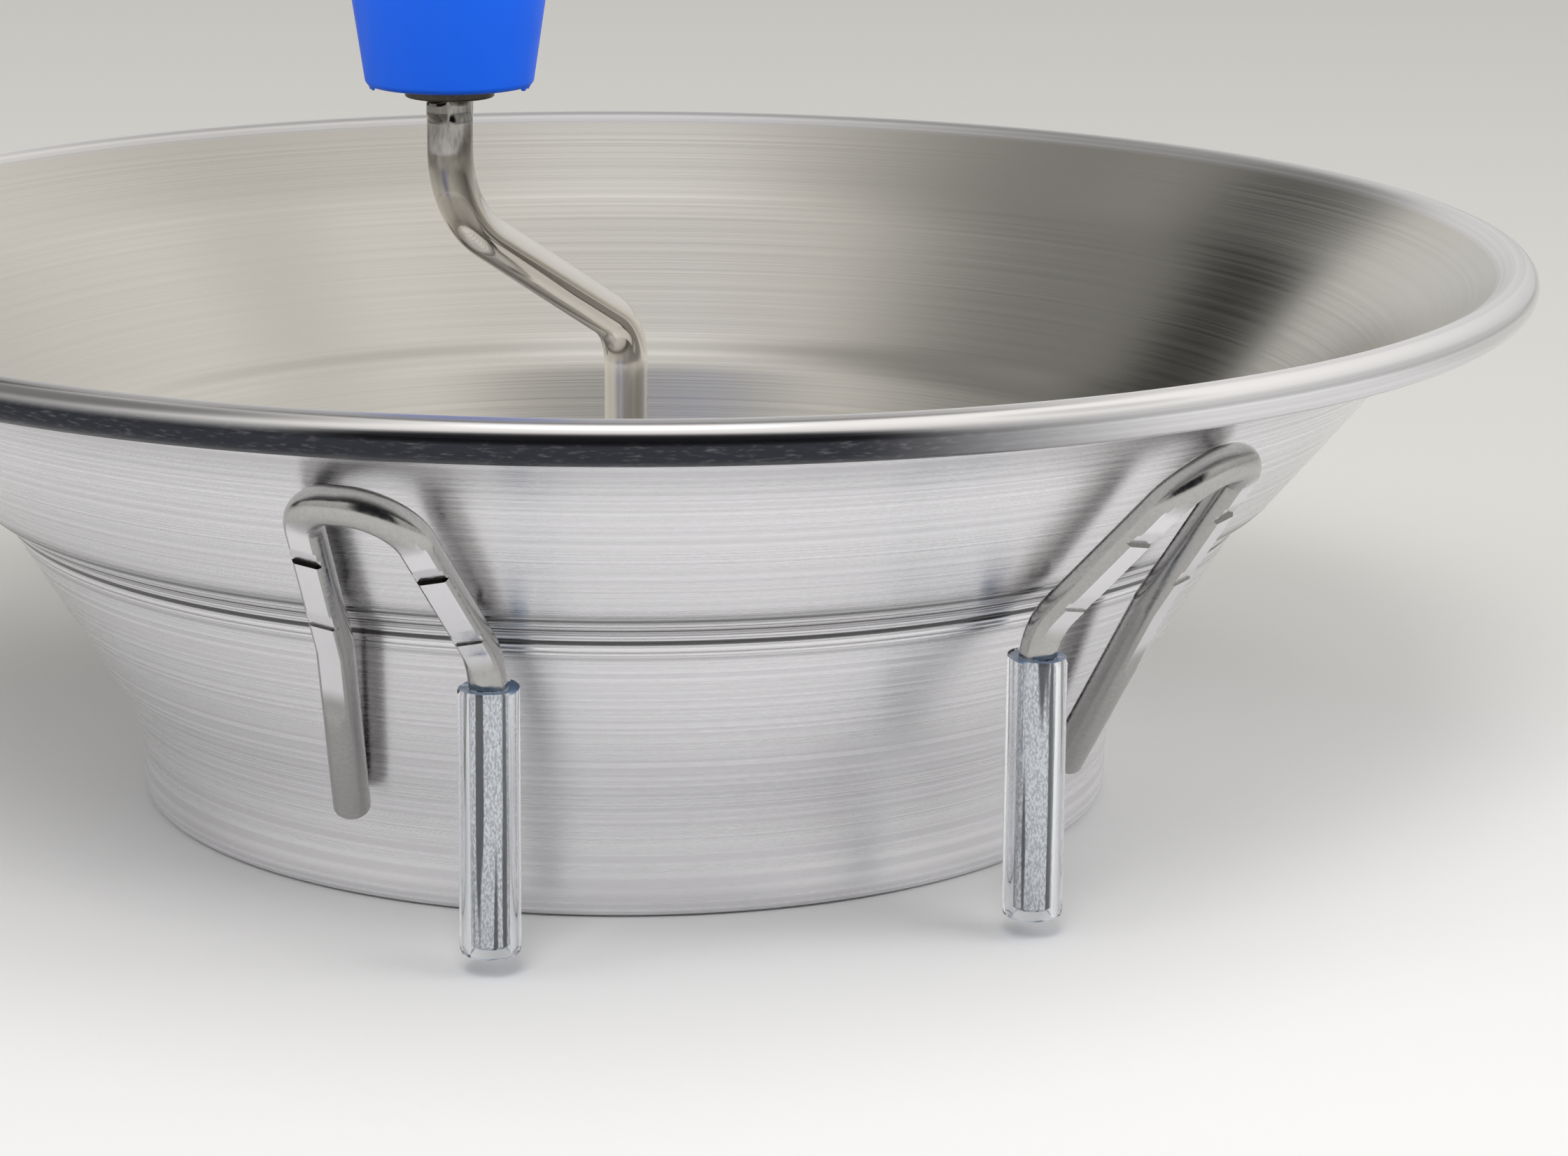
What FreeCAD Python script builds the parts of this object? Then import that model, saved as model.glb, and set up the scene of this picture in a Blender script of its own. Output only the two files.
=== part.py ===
import FreeCAD, Part
import math
import os

from FreeCAD import Vector

os.makedirs("parts", exist_ok=True)

# Hand-cranked food mill. Millimetres, +Z up, origin at the centre of the outlet ring's under-face.
# Azimuths are in degrees about +Z: 0 points along -Y, 90 along +X, and the handle lies at 270.

# Hopper sheet and its outer profile
sheet = 1.2
rim_radius = 155.0
bead_radius = 3.4
bead_height = 92.0
neck_radius = 84.0
neck_height = 14.0
neck_bend = 30.0
seat_width = 12.0
seat_bend = 2.4
ledge_inset = 43.0
ledge_drop = 36.5
ledge_width = 4.5
ledge_rise = 3.0
ledge_bend = 12.0
flare_width = 22.0
upper_cone_angle = 40.0
flare_bend = 45.0

# Fits and gaps
weld_gap = 0.05
loose_gap = 0.3
running_gap = 0.05
press_gap = 0.02

# Legs: wire hairpins in mirrored pairs; the sleeved limb drops, the other runs down the wall to its weld
leg_wire_radius = 3.0
leg_pair_azimuths = (44.0, 224.0)
leg_spread = 29.0
leg_slope = 46.0
leg_ledge_gap = 0.95
leg_limb_run = 28.5
leg_apex_offset = 8.4
leg_apex_bend = 8.2
leg_drop_inset = 0.5
leg_drop_offset = 12.4
leg_drop_bend = 14.0
leg_end_height = 4.7
limb_apex_step = 3.9
limb_apex_drop = 0.8
limb_apex_offset = 8.2
limb_apex_bend = 7.4
limb_knee_step = 2.1
limb_knee_drop = 5.0
limb_knee_offset = 11.3
limb_knee_bend = 18.0
limb_weld_height = 18.0
limb_weld_stand = 2.6
limb_weld_offset = 18.2
flat_depth = 0.7
flat_start = 9.0
flat_end = 34.5
notch_upper_place = 15.9
notch_lower_place = 32.6
limb_notch_upper_place = 12.6
limb_notch_lower_place = 27.9
notch_depth = 0.8
notch_ramp = 3.6

# Clear sleeves on the dropped limbs
sleeve_wall = 1.7
sleeve_past_wire = 1.3
sleeve_bend_angle = 14.0

# Handle strap
handle_azimuth = 270.0
strap_width = 28.0
strap_thickness = 2.5
strap_leave_above_ledge = 9.0
strap_root_length = 9.8
strap_root_bend = 10.0
strap_elbow_run = 17.0
strap_elbow_bend = 24.0
strap_tilt = 10.0
strap_reach = 190.0
hang_hole_radius = 5.0

# Crank rod and knob
rod_radius = 3.75
crank_azimuth = 352.0
crank_throw = 44.5
crank_lower_bend_height = 79.9
crank_rise = 25.1
crank_lower_bend = 9.0
crank_upper_bend = 13.0
tip_radius = 3.0
tip_end_height = 0.3
knob_above_bend = 21.2
knob_height = 62.0
knob_bottom_radius = 13.6
knob_belly_radius = 19.4
knob_belly_height = 39.0
knob_crown_radius = 15.5
knob_edge_round = 1.2
knob_belly_round = 30.0
knob_crown_round = 9.0
knob_recess_radius = 6.4
knob_recess_depth = 7.0
knob_washer_radius = 7.3
knob_washer_thickness = 1.6
push_nut_clearance = 0.6
push_nut_thickness = 1.2
rod_stub = 1.5
crimp_width = 3.2
crimp_height = 3.4
crimp_proud = 0.8

# Crossbar, its bush and the lugs that hold it down
bar_bottom = 35.0
bar_thickness = 3.0
bar_width = 22.0
bar_end_gap = 7.4
bush_radius = 6.0
bush_flange_radius = 9.0
bush_flange_thickness = 2.0
bush_below = 2.0
lug_overlap = 8.0
lug_thickness = 2.5
lug_width = 30.0
lug_stop_drop = 7.0

# Sieve disc
disc_thickness = 1.2
sieve_hole_radius = 1.75
sieve_pitch = 8.0
sieve_margin = 3.0
sieve_hub_clear_radius = 9.0

# Blade, its hub and pin
blade_end_gap = 4.8
blade_thickness = 2.0
blade_tilt = 15.0
blade_lead = 9.0
blade_clearance = 0.5
hub_radius = 7.0
hub_foot = 1.2
hub_top = 17.0
pin_radius = 1.5
pin_below_top = 4.2

# Pressure spring and its washers
spring_radius = 6.2
spring_wire_radius = 0.8
spring_turns = 3.5
spring_steps_per_turn = 4
spring_washer_radius = 8.6
spring_washer_thickness = 1.2


def rounded_path(points, bends):
    """Wire through points, with each inner corner rounded by a tangent arc of its own radius."""
    edges = []
    start = points[0]
    for corner, after, bend in zip(points[1:-1], points[2:], bends):
        back = (start - corner).normalize()
        ahead = (after - corner).normalize()
        half_turn = (math.pi - back.getAngle(ahead)) / 2
        tangent = bend * math.tan(half_turn)
        first = corner + back * tangent
        last = corner + ahead * tangent
        bisector = (back + ahead).normalize()
        middle = corner + bisector * (bend / math.cos(half_turn) - bend)
        edges.append(Part.LineSegment(start, first).toShape())
        edges.append(Part.Arc(first, middle, last).toShape())
        start = last
    edges.append(Part.LineSegment(start, points[-1]).toShape())
    return Part.Wire(edges)


def flat_points(pairs):
    return [Vector(r, 0, z) for r, z in pairs]


def revolve(wire, angle=360.0):
    return Part.Face(wire).revolve(Vector(0, 0, 0), Vector(0, 0, 1), angle)


def turned(shape, azimuth):
    """Turn a shape drawn towards +X to an azimuth about the hopper's axis."""
    copy = shape.copy()
    copy.rotate(Vector(0, 0, 0), Vector(0, 0, 1), azimuth - 90.0)
    return copy


def pipe(path, radius):
    """Round bar along a path."""
    start = path.Edges[0]
    normal = start.tangentAt(start.FirstParameter)
    circle = Part.Wire([Part.makeCircle(radius, path.OrderedVertexes[0].Point, normal)])
    return path.makePipeShell([circle], True, False)


def ring(outer, inner, bottom, height):
    body = Part.makeCylinder(outer, height, Vector(0, 0, bottom))
    return body.cut(Part.makeCylinder(inner, height, Vector(0, 0, bottom)))


def save(shape, name):
    solid = shape.removeSplitter()
    if len(solid.Solids) == 1:
        solid = solid.Solids[0]
    if not solid.isValid():
        raise ValueError(name + " is not a valid shape")
    solid.exportStep("parts/" + name + ".step")


# Hopper profile
seat_inner_radius = neck_radius - seat_width
ledge_outer_radius = rim_radius - ledge_inset
ledge_outer_height = bead_height - ledge_drop
ledge_inner_radius = ledge_outer_radius - ledge_width
ledge_inner_height = ledge_outer_height - ledge_rise
flare_start_radius = rim_radius - flare_width
bead_centre_radius = rim_radius - bead_radius
flare_start_height = ledge_outer_height
flare_start_height += (flare_start_radius - ledge_outer_radius) / math.tan(math.radians(upper_cone_angle))
flare_run = bead_centre_radius - flare_start_radius
flare_climb = bead_height - flare_start_height
flare_length = math.hypot(flare_run, flare_climb)
flare_direction = math.atan2(flare_climb, flare_run) + math.asin((bead_radius - sheet) / flare_length)
flare_along = Vector(math.cos(flare_direction), 0, math.sin(flare_direction))
flare_up = Vector(-math.sin(flare_direction), 0, math.cos(flare_direction))
bead_centre = Vector(bead_centre_radius, 0, bead_height)
bead_chord = math.sqrt(bead_radius ** 2 - (bead_radius - sheet) ** 2)
flare_end = bead_centre + flare_up * (bead_radius - sheet) - flare_along * bead_chord

outer_corners = [
    (seat_inner_radius, 0.0),
    (neck_radius, 0.0),
    (neck_radius, neck_height),
    (ledge_inner_radius, ledge_inner_height),
    (ledge_outer_radius, ledge_outer_height),
    (flare_start_radius, flare_start_height),
    (flare_end.x, flare_end.z),
]
outer_bends = [seat_bend, neck_bend, ledge_bend, ledge_bend, flare_bend]


def inset(corners, depth):
    """Corners of the same profile, moved inwards by depth along each stretch's normal."""
    lines = []
    for (r0, z0), (r1, z1) in zip(corners, corners[1:]):
        length = math.hypot(r1 - r0, z1 - z0)
        along = ((r1 - r0) / length, (z1 - z0) / length)
        shifted = (r0 - along[1] * depth, z0 + along[0] * depth)
        lines.append((shifted, along))
    first, first_along = lines[0]
    moved = [first]
    for (point, along), (next_point, next_along) in zip(lines, lines[1:]):
        cross = along[0] * next_along[1] - along[1] * next_along[0]
        gap = (next_point[0] - point[0], next_point[1] - point[1])
        step = (gap[0] * next_along[1] - gap[1] * next_along[0]) / cross
        moved.append((point[0] + along[0] * step, point[1] + along[1] * step))
    last, last_along = lines[-1]
    length = math.hypot(corners[-1][0] - corners[-2][0], corners[-1][1] - corners[-2][1])
    moved.append((last[0] + last_along[0] * length, last[1] + last_along[1] * length))
    return moved


def wall_path(depth):
    """Profile of the hopper's wall at a depth below its outer face; a negative depth lies outside."""
    corners = inset(outer_corners, depth)
    bends = []
    for bend, corner, before, after in zip(outer_bends, corners[1:], corners, corners[2:]):
        cross = (corner[0] - before[0]) * (after[1] - corner[1])
        cross -= (corner[1] - before[1]) * (after[0] - corner[0])
        bends.append(bend - depth if cross > 0 else bend + depth)
    return rounded_path(flat_points(corners), bends)


def wall_solid(depth):
    """Everything inside the hopper's wall at a depth below its outer face."""
    path = wall_path(depth)
    points = path.OrderedVertexes
    top = points[-1].Point
    bottom = points[0].Point
    axis_top = Vector(0, 0, top.z)
    axis_bottom = Vector(0, 0, bottom.z)
    closing = Part.makePolygon([top, axis_top, axis_bottom, bottom])
    return revolve(Part.Wire(path.Edges + closing.Edges))


def wall_radius(height, depth):
    """Radius of the wall at a height, at a depth below its outer face, bends left out."""
    corners = inset(outer_corners, depth)
    for (r0, z0), (r1, z1) in zip(corners[1:], corners[2:]):
        if z0 <= height <= z1:
            return r0 + (r1 - r0) * (height - z0) / (z1 - z0)
    raise ValueError("height outside the wall")


def make_hopper():
    """Sheet of even thickness whose inner face runs on over the rolled bead."""
    outer = wall_path(0.0)
    inner = wall_path(sheet)
    seat_edge = Part.LineSegment(inner.OrderedVertexes[0].Point, outer.OrderedVertexes[0].Point).toShape()
    crown = bead_centre + flare_up * bead_radius
    curl = Part.Arc(flare_end, bead_centre + flare_along * bead_radius, crown).toShape()
    lip = Part.LineSegment(crown, inner.OrderedVertexes[-1].Point).toShape()
    return revolve(Part.Wire([seat_edge] + outer.Edges + [curl, lip] + inner.Edges[::-1]))


# Legs
slope = math.radians(leg_slope)
leg_drop_radius = ledge_outer_radius - leg_drop_inset
leg_apex_radius = leg_drop_radius + leg_limb_run


def on_leg_plane(radius):
    """Height of the sleeved limb's centre line at a radius, clear below the ledge's corner."""
    below_corner = (leg_wire_radius + leg_ledge_gap) / math.cos(slope)
    return ledge_outer_height - below_corner + (radius - ledge_outer_radius) * math.tan(slope)


leg_apex_height = on_leg_plane(leg_apex_radius)
leg_end = Vector(leg_drop_radius, -leg_drop_offset, leg_end_height)
leg_drop = Vector(leg_drop_radius, -leg_drop_offset, on_leg_plane(leg_drop_radius))
leg_apex = Vector(leg_apex_radius, -leg_apex_offset, leg_apex_height)
limb_apex = Vector(leg_apex_radius - limb_apex_step, limb_apex_offset, leg_apex_height - limb_apex_drop)
limb_knee = Vector(leg_drop_radius + limb_knee_step, limb_knee_offset, ledge_outer_height - limb_knee_drop)
limb_weld_radius = wall_radius(limb_weld_height, 0.0) + limb_weld_stand
limb_weld = Vector(limb_weld_radius, limb_weld_offset, limb_weld_height)


def leg_path():
    """Centre line from the dropped limb's end, over the apex, to the weld on the wall."""
    points = [leg_end, leg_drop, leg_apex, limb_apex, limb_knee, limb_weld]
    return rounded_path(points, [leg_drop_bend, leg_apex_bend, limb_apex_bend, limb_knee_bend])


def limb_bar(top, bottom, profile):
    """Bar across a limb; its profile gives places down the limb and depths out from the wire's axis."""
    down = (bottom - top).normalize()
    out = down.cross(Vector(0, 1, 0)).normalize()
    side = out.cross(down) * (2 * leg_wire_radius)
    points = [top - side + down * place + out * depth for place, depth in profile]
    face = Part.Face(Part.makePolygon(points + [points[0]]))
    return face.extrude(side * 2)


def make_leg():
    leg = pipe(leg_path(), leg_wire_radius)
    beyond = 2 * leg_wire_radius
    face = leg_wire_radius - flat_depth
    flat = [(flat_start, face), (flat_end, face), (flat_end, beyond), (flat_start, beyond)]
    limbs = (
        (leg_apex, leg_drop, (notch_upper_place, notch_lower_place)),
        (limb_apex, limb_knee, (limb_notch_upper_place, limb_notch_lower_place)),
    )
    for top, bottom, places in limbs:
        leg = leg.cut(limb_bar(top, bottom, flat))
        for place in places:
            ramp_start = place - notch_ramp
            notch = [(ramp_start, face), (place, face - notch_depth), (place, beyond), (ramp_start, beyond)]
            leg = leg.cut(limb_bar(top, bottom, notch))
    return leg.cut(wall_solid(-weld_gap))


def make_sleeve():
    """Tube on the dropped limb, its top just following the wire into the bend."""
    rising = (leg_apex - leg_drop).normalize()
    turn = rising.getAngle(Vector(0, 0, 1))
    bottom = leg_end - Vector(0, 0, sleeve_past_wire)
    corner = leg_drop - Vector(0, 0, leg_drop_bend * math.tan(turn / 2))
    sideways = Vector(rising.x, rising.y, 0).normalize()
    arc_points = []
    for part in (0.5, 1.0):
        angle = math.radians(sleeve_bend_angle) * part
        arc_points.append(corner + sideways * leg_drop_bend * (1 - math.cos(angle))
                          + Vector(0, 0, leg_drop_bend * math.sin(angle)))
    path = Part.Wire([Part.LineSegment(bottom, corner).toShape(),
                      Part.Arc(corner, arc_points[0], arc_points[1]).toShape()])
    outside = pipe(path, leg_wire_radius + running_gap + sleeve_wall)
    return outside.cut(pipe(path, leg_wire_radius + running_gap))


def mirrored(shape):
    return shape.mirror(Vector(0, 0, 0), Vector(0, 1, 0))


# Handle strap
def make_handle():
    """Strap up the cone and under the bead, whose top face touches both."""
    tilt = math.radians(strap_tilt)
    cone = math.radians(upper_cone_angle)
    leave_height = ledge_outer_height + strap_leave_above_ledge
    leave = (wall_radius(leave_height, 0.0) + weld_gap / math.cos(cone), leave_height)
    root = (leave[0] - strap_root_length * math.sin(cone), leave[1] - strap_root_length * math.cos(cone))
    to_bead = (bead_centre_radius - leave[0], bead_height - leave[1])
    rise = math.atan2(to_bead[1], to_bead[0]) - math.asin((bead_radius + weld_gap) / math.hypot(*to_bead))
    elbow_radius = rim_radius + strap_elbow_run
    elbow = (elbow_radius, leave[1] + math.tan(rise) * (elbow_radius - leave[0]))
    end_radius = rim_radius + strap_reach
    end = (end_radius, elbow[1] + math.tan(tilt) * (end_radius - elbow_radius))
    top = [root, leave, elbow, end]
    under = inset(top, -strap_thickness)
    upper = rounded_path(flat_points(top), [strap_root_bend + strap_thickness, strap_elbow_bend])
    lower = rounded_path(flat_points(under), [strap_root_bend, strap_elbow_bend + strap_thickness])
    caps = []
    for end_index in (0, -1):
        ends = [path.OrderedVertexes[end_index].Point for path in (upper, lower)]
        caps.append(Part.LineSegment(*ends).toShape())
    section = Part.Wire([caps[0]] + upper.Edges + [caps[1]] + lower.Edges[::-1])
    half_sweep = math.degrees(math.asin(strap_width / root[0]))
    strap = revolve(section, 2 * half_sweep)
    strap.rotate(Vector(0, 0, 0), Vector(0, 0, 1), -half_sweep)
    half = strap_width / 2
    hole_radius = end_radius - half
    plan = Part.makeBox(hole_radius, strap_width, 2 * end[1], Vector(0, -half, 0))
    plan = plan.fuse(Part.makeCylinder(half, 2 * end[1], Vector(hole_radius, 0, 0)))
    strap = strap.common(plan)
    hole_height = elbow[1] + math.tan(tilt) * (hole_radius - elbow_radius)
    upwards = Vector(-math.sin(tilt), 0, math.cos(tilt))
    reach = 4 * strap_thickness
    start = Vector(hole_radius, 0, hole_height) - upwards * reach
    return strap.cut(Part.makeCylinder(hang_hole_radius, 2 * reach, start, upwards))


# Crank
knob_axis = Vector(crank_throw, 0, 0)
crank_upper_bend_height = crank_lower_bend_height + crank_rise
knob_bottom = crank_upper_bend_height + knob_above_bend
washer_bottom = knob_bottom - loose_gap - knob_washer_thickness
push_nut_bottom = knob_bottom + knob_height - knob_recess_depth + loose_gap
rod_top = push_nut_bottom + push_nut_thickness + rod_stub
disc_top = sheet + disc_thickness
tip_top = disc_top + loose_gap
pin_height = hub_top - pin_below_top


def make_rod():
    points = [
        Vector(0, 0, tip_top),
        Vector(0, 0, crank_lower_bend_height),
        Vector(crank_throw, 0, crank_upper_bend_height),
        Vector(crank_throw, 0, rod_top),
    ]
    rod = pipe(rounded_path(points, [crank_lower_bend, crank_upper_bend]), rod_radius)
    rod = rod.fuse(Part.makeCylinder(tip_radius, tip_top - tip_end_height, Vector(0, 0, tip_end_height)))
    length = 2 * (rod_radius + crimp_proud)
    corner = knob_axis + Vector(-length / 2, -crimp_width / 2, washer_bottom - crimp_height)
    crimp = Part.makeBox(length, crimp_width, crimp_height, corner)
    crimp = crimp.makeFillet(crimp_proud / 2, [e for e in crimp.Edges if abs(e.tangentAt(0).y) > 0.5])
    rod = rod.fuse(crimp)
    return rod.cut(pin_solid(pin_radius + press_gap, 2 * hub_radius))


def pin_solid(radius, half_length):
    return Part.makeCylinder(radius, 2 * half_length, Vector(-half_length, 0, pin_height), Vector(1, 0, 0))


def make_knob():
    bore = rod_radius + running_gap
    floor = knob_height - knob_recess_depth
    corners = flat_points([
        (bore, 0),
        (knob_bottom_radius, 0),
        (knob_belly_radius, knob_belly_height),
        (knob_crown_radius, knob_height),
        (knob_recess_radius, knob_height),
    ])
    outside = rounded_path(corners, [knob_edge_round, knob_belly_round, knob_crown_round])
    inside = Part.makePolygon(flat_points([
        (knob_recess_radius, knob_height),
        (knob_recess_radius, floor),
        (bore, floor),
        (bore, 0),
    ]))
    knob = revolve(Part.Wire(outside.Edges + inside.Edges))
    knob.translate(knob_axis + Vector(0, 0, knob_bottom))
    return knob


def on_knob_axis(shape):
    shape.translate(knob_axis)
    return shape


# Crossbar
bar_top = bar_bottom + bar_thickness
bar_end_radius = wall_radius(bar_bottom, sheet) - bar_end_gap
bush_bottom = bar_bottom - bush_below


def make_crossbar():
    bar = Part.makeBox(2 * bar_end_radius, bar_width, bar_thickness,
                       Vector(-bar_end_radius, -bar_width / 2, bar_bottom))
    bar = bar.common(Part.makeCylinder(bar_end_radius, bar_thickness, Vector(0, 0, bar_bottom)))
    return bar.cut(Part.makeCylinder(bush_radius + press_gap, bar_thickness, Vector(0, 0, bar_bottom)))


def make_bush():
    bore = rod_radius + running_gap
    body = ring(bush_radius, bore, bush_bottom, bar_top - bush_bottom)
    return body.fuse(ring(bush_flange_radius, bore, bar_top, bush_flange_thickness))


def make_lug():
    """Plate over the crossbar's end with a stop that the working turn drives the bar against."""
    bottom = bar_top + loose_gap
    lug_inner_radius = bar_end_radius - lug_overlap
    length = wall_radius(bottom + lug_thickness, 0.0) - lug_inner_radius
    corner = Vector(lug_inner_radius, -lug_width / 2, bottom)
    lug = Part.makeBox(length, lug_width, lug_thickness, corner)
    stop_width = (lug_width - bar_width) / 2 - loose_gap
    stop = Part.makeBox(length, stop_width, lug_stop_drop, corner - Vector(0, 0, lug_stop_drop))
    return lug.fuse(stop).common(wall_solid(sheet + weld_gap))


# Sieve disc
def make_disc():
    edge_radius = neck_radius - seat_bend - loose_gap
    field_radius = seat_inner_radius - sieve_margin
    outline = Part.Wire([Part.makeCircle(edge_radius)])
    holes = [Part.Wire([Part.makeCircle(tip_radius + running_gap)])]
    row_step = sieve_pitch * math.sqrt(3) / 2
    rows = int(field_radius / row_step)
    for row in range(-rows, rows + 1):
        shift = sieve_pitch / 2 if row % 2 else 0.0
        columns = int(field_radius / sieve_pitch) + 1
        for column in range(-columns, columns + 1):
            place = Vector(column * sieve_pitch + shift, row * row_step, 0)
            if sieve_hub_clear_radius < place.Length <= field_radius:
                holes.append(Part.Wire([Part.makeCircle(sieve_hole_radius, place)]))
    print("sieve holes", len(holes) - 1)
    face = Part.makeFace([outline] + holes, "Part::FaceMakerBullseye")
    disc = face.extrude(Vector(0, 0, disc_thickness))
    disc.translate(Vector(0, 0, sheet))
    return disc


# Blade and hub
hub_bottom = disc_top + hub_foot
blade_radius = neck_radius - sheet - blade_end_gap


def make_blade():
    lead_height = disc_top + blade_clearance
    tall = lead_height + 2 * blade_radius
    across = 2 * blade_radius
    half_plane = Part.makeBox(across, across, tall, Vector(-blade_radius, -blade_lead, 0))
    plan = Part.makeCylinder(blade_radius, tall).common(half_plane)
    slab = Part.makeBox(across, across, blade_thickness, Vector(-blade_radius, 0, 0))
    slab.rotate(Vector(0, 0, 0), Vector(1, 0, 0), blade_tilt)
    slab.translate(Vector(0, -blade_lead, lead_height))
    blade = slab.common(plan)
    hole = Part.makeCylinder(hub_radius + press_gap, tall)
    return blade.cut(hole)


def make_hub():
    hub = ring(hub_radius, rod_radius + press_gap, hub_bottom, hub_top - hub_bottom)
    return hub.cut(pin_solid(pin_radius + press_gap, 2 * hub_radius))


# Spring
def biarc(p0, t0, p1, t1):
    """Two tangent arcs from p0 along t0 to p1 along t1."""
    span = p1 - p0
    both = t0 + t1
    bend = 2 * (1 - t0.dot(t1))
    reach = (-span.dot(both) + math.sqrt(span.dot(both) ** 2 + bend * span.dot(span))) / bend
    q0 = p0 + t0 * reach
    q1 = p1 - t1 * reach
    joint = (q0 + q1) * 0.5
    arcs = []
    for start, control, end in ((p0, q0, joint), (joint, q1, p1)):
        chord_middle = (start + end) * 0.5
        half = (control - start).getAngle(end - control) / 2
        middle = chord_middle + (control - chord_middle) * (math.cos(half) / (1 + math.cos(half)))
        arcs.append(Part.Arc(start, middle, end).toShape())
    return arcs


def make_spring():
    low = hub_top + spring_washer_thickness + loose_gap + spring_wire_radius
    high = bush_bottom - loose_gap - spring_washer_thickness - loose_gap - spring_wire_radius
    climb = (high - low) / spring_turns
    steps = round(spring_turns * spring_steps_per_turn)

    def place(step):
        angle = 2 * math.pi * step / spring_steps_per_turn
        point = Vector(spring_radius * math.cos(angle), spring_radius * math.sin(angle),
                       low + climb * step / spring_steps_per_turn)
        along = Vector(-math.sin(angle), math.cos(angle), climb / (2 * math.pi * spring_radius)).normalize()
        return point, along

    edges = []
    for step in range(steps):
        edges += biarc(*place(step), *place(step + 1))
    path = Part.Wire(edges)
    points = path.discretize(Number=40 * steps)
    turn = round(len(points) / spring_turns)
    half_turn = turn // 2
    gaps = [(a - b).Length for i, a in enumerate(points) for b in points[i + half_turn:]]
    print("spring least gap to itself", round(min(gaps) - 2 * spring_wire_radius, 3))
    return pipe(path, spring_wire_radius)


save(make_hopper(), "hopper_bowl")

leg = make_leg()
sleeve = make_sleeve()
number = 0
for pair in leg_pair_azimuths:
    number += 1
    save(turned(mirrored(leg), pair - leg_spread), "leg_wire_%d" % number)
    save(turned(mirrored(sleeve), pair - leg_spread), "leg_sleeve_%d" % number)
    number += 1
    save(turned(leg, pair + leg_spread), "leg_wire_%d" % number)
    save(turned(sleeve, pair + leg_spread), "leg_sleeve_%d" % number)

save(turned(make_handle(), handle_azimuth), "handle_strap")

save(turned(make_rod(), crank_azimuth), "crank_rod")
save(turned(make_knob(), crank_azimuth), "crank_knob")
knob_washer = ring(knob_washer_radius, rod_radius + press_gap, washer_bottom, knob_washer_thickness)
save(turned(on_knob_axis(knob_washer), crank_azimuth), "knob_washer")
push_nut_radius = knob_recess_radius - push_nut_clearance
push_nut = ring(push_nut_radius, rod_radius + press_gap, push_nut_bottom, push_nut_thickness)
save(turned(on_knob_axis(push_nut), crank_azimuth), "knob_push_nut")

save(make_crossbar(), "crossbar")
save(make_bush(), "crossbar_bush")
lug = make_lug()
save(lug, "crossbar_lug_right")
save(turned(lug, 270.0), "crossbar_lug_left")

save(make_disc(), "sieve_disc")
save(make_blade(), "blade")
save(turned(make_hub(), crank_azimuth), "blade_hub")
save(turned(pin_solid(pin_radius, hub_radius), crank_azimuth), "hub_pin")

save(make_spring(), "pressure_spring")
spring_washer_places = {
    "spring_washer_lower": (hub_top, press_gap),
    "spring_washer_upper": (bush_bottom - loose_gap - spring_washer_thickness, running_gap),
}
for name, (bottom, gap) in spring_washer_places.items():
    save(ring(spring_washer_radius, rod_radius + gap, bottom, spring_washer_thickness), name)
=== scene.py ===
import math

import bmesh
import bpy
from mathutils import Matrix, Quaternion, Vector, noise


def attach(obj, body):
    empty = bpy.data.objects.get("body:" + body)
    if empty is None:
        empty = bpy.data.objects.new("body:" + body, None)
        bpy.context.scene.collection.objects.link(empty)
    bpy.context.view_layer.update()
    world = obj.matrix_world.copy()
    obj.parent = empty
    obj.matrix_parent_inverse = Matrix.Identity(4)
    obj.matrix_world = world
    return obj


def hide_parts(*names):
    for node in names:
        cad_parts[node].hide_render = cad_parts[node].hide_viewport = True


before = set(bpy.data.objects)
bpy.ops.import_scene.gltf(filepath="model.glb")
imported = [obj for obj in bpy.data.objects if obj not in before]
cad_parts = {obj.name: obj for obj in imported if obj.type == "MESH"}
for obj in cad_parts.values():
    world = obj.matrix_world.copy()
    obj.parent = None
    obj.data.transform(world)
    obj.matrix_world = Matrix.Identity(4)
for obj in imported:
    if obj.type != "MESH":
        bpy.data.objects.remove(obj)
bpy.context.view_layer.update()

# Food mill: smooth pieces over the CAD frame, in metres, +Z up.
# Azimuths are in degrees about +Z: 0 points along -Y, 90 along +X, and the handle lies at 270.
MM = 0.001
UP = Vector((0.0, 0.0, 1.0))

# Meshing: an arc's fewest steps and largest half-turn per step in radians, and sharp edges in degrees
ARC_LEAST_STEPS = 3
ARC_HALF_STEP = 0.04
SHARP_EDGE = 35.0
SHARP_WIRE = 24.0
SHARP_SLEEVE = 50.0
SHARP_BAR = 40.0

# Hopper
SHEET = 1.2 * MM
RIM_RADIUS = 154.99 * MM
BEAD_RADIUS = 3.4 * MM
BEAD_HEIGHT = 92.0 * MM
BEAD_STEPS = 44
NECK_RADIUS = 84.0 * MM
NECK_HEIGHT = 14.0 * MM
NECK_BEND = 30.0 * MM
SEAT_RADIUS = 72.0 * MM
SEAT_BEND = 2.4 * MM
LEDGE_INNER = (107.5 * MM, 52.5 * MM)
LEDGE_OUTER = (112.0 * MM, 55.5 * MM)
LEDGE_BEND = 12.0 * MM
UPPER_CONE_ANGLE = math.radians(40.0)
FLARE_START_RADIUS = 133.0 * MM
FLARE_START_HEIGHT = LEDGE_OUTER[1] + (FLARE_START_RADIUS - LEDGE_OUTER[0]) / math.tan(UPPER_CONE_ANGLE)
FLARE_BEND = 45.0 * MM
HOPPER_STEP = 1.1 * MM
HOPPER_RUN = 3.0 * MM
HOPPER_SEGMENTS = 320

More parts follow.
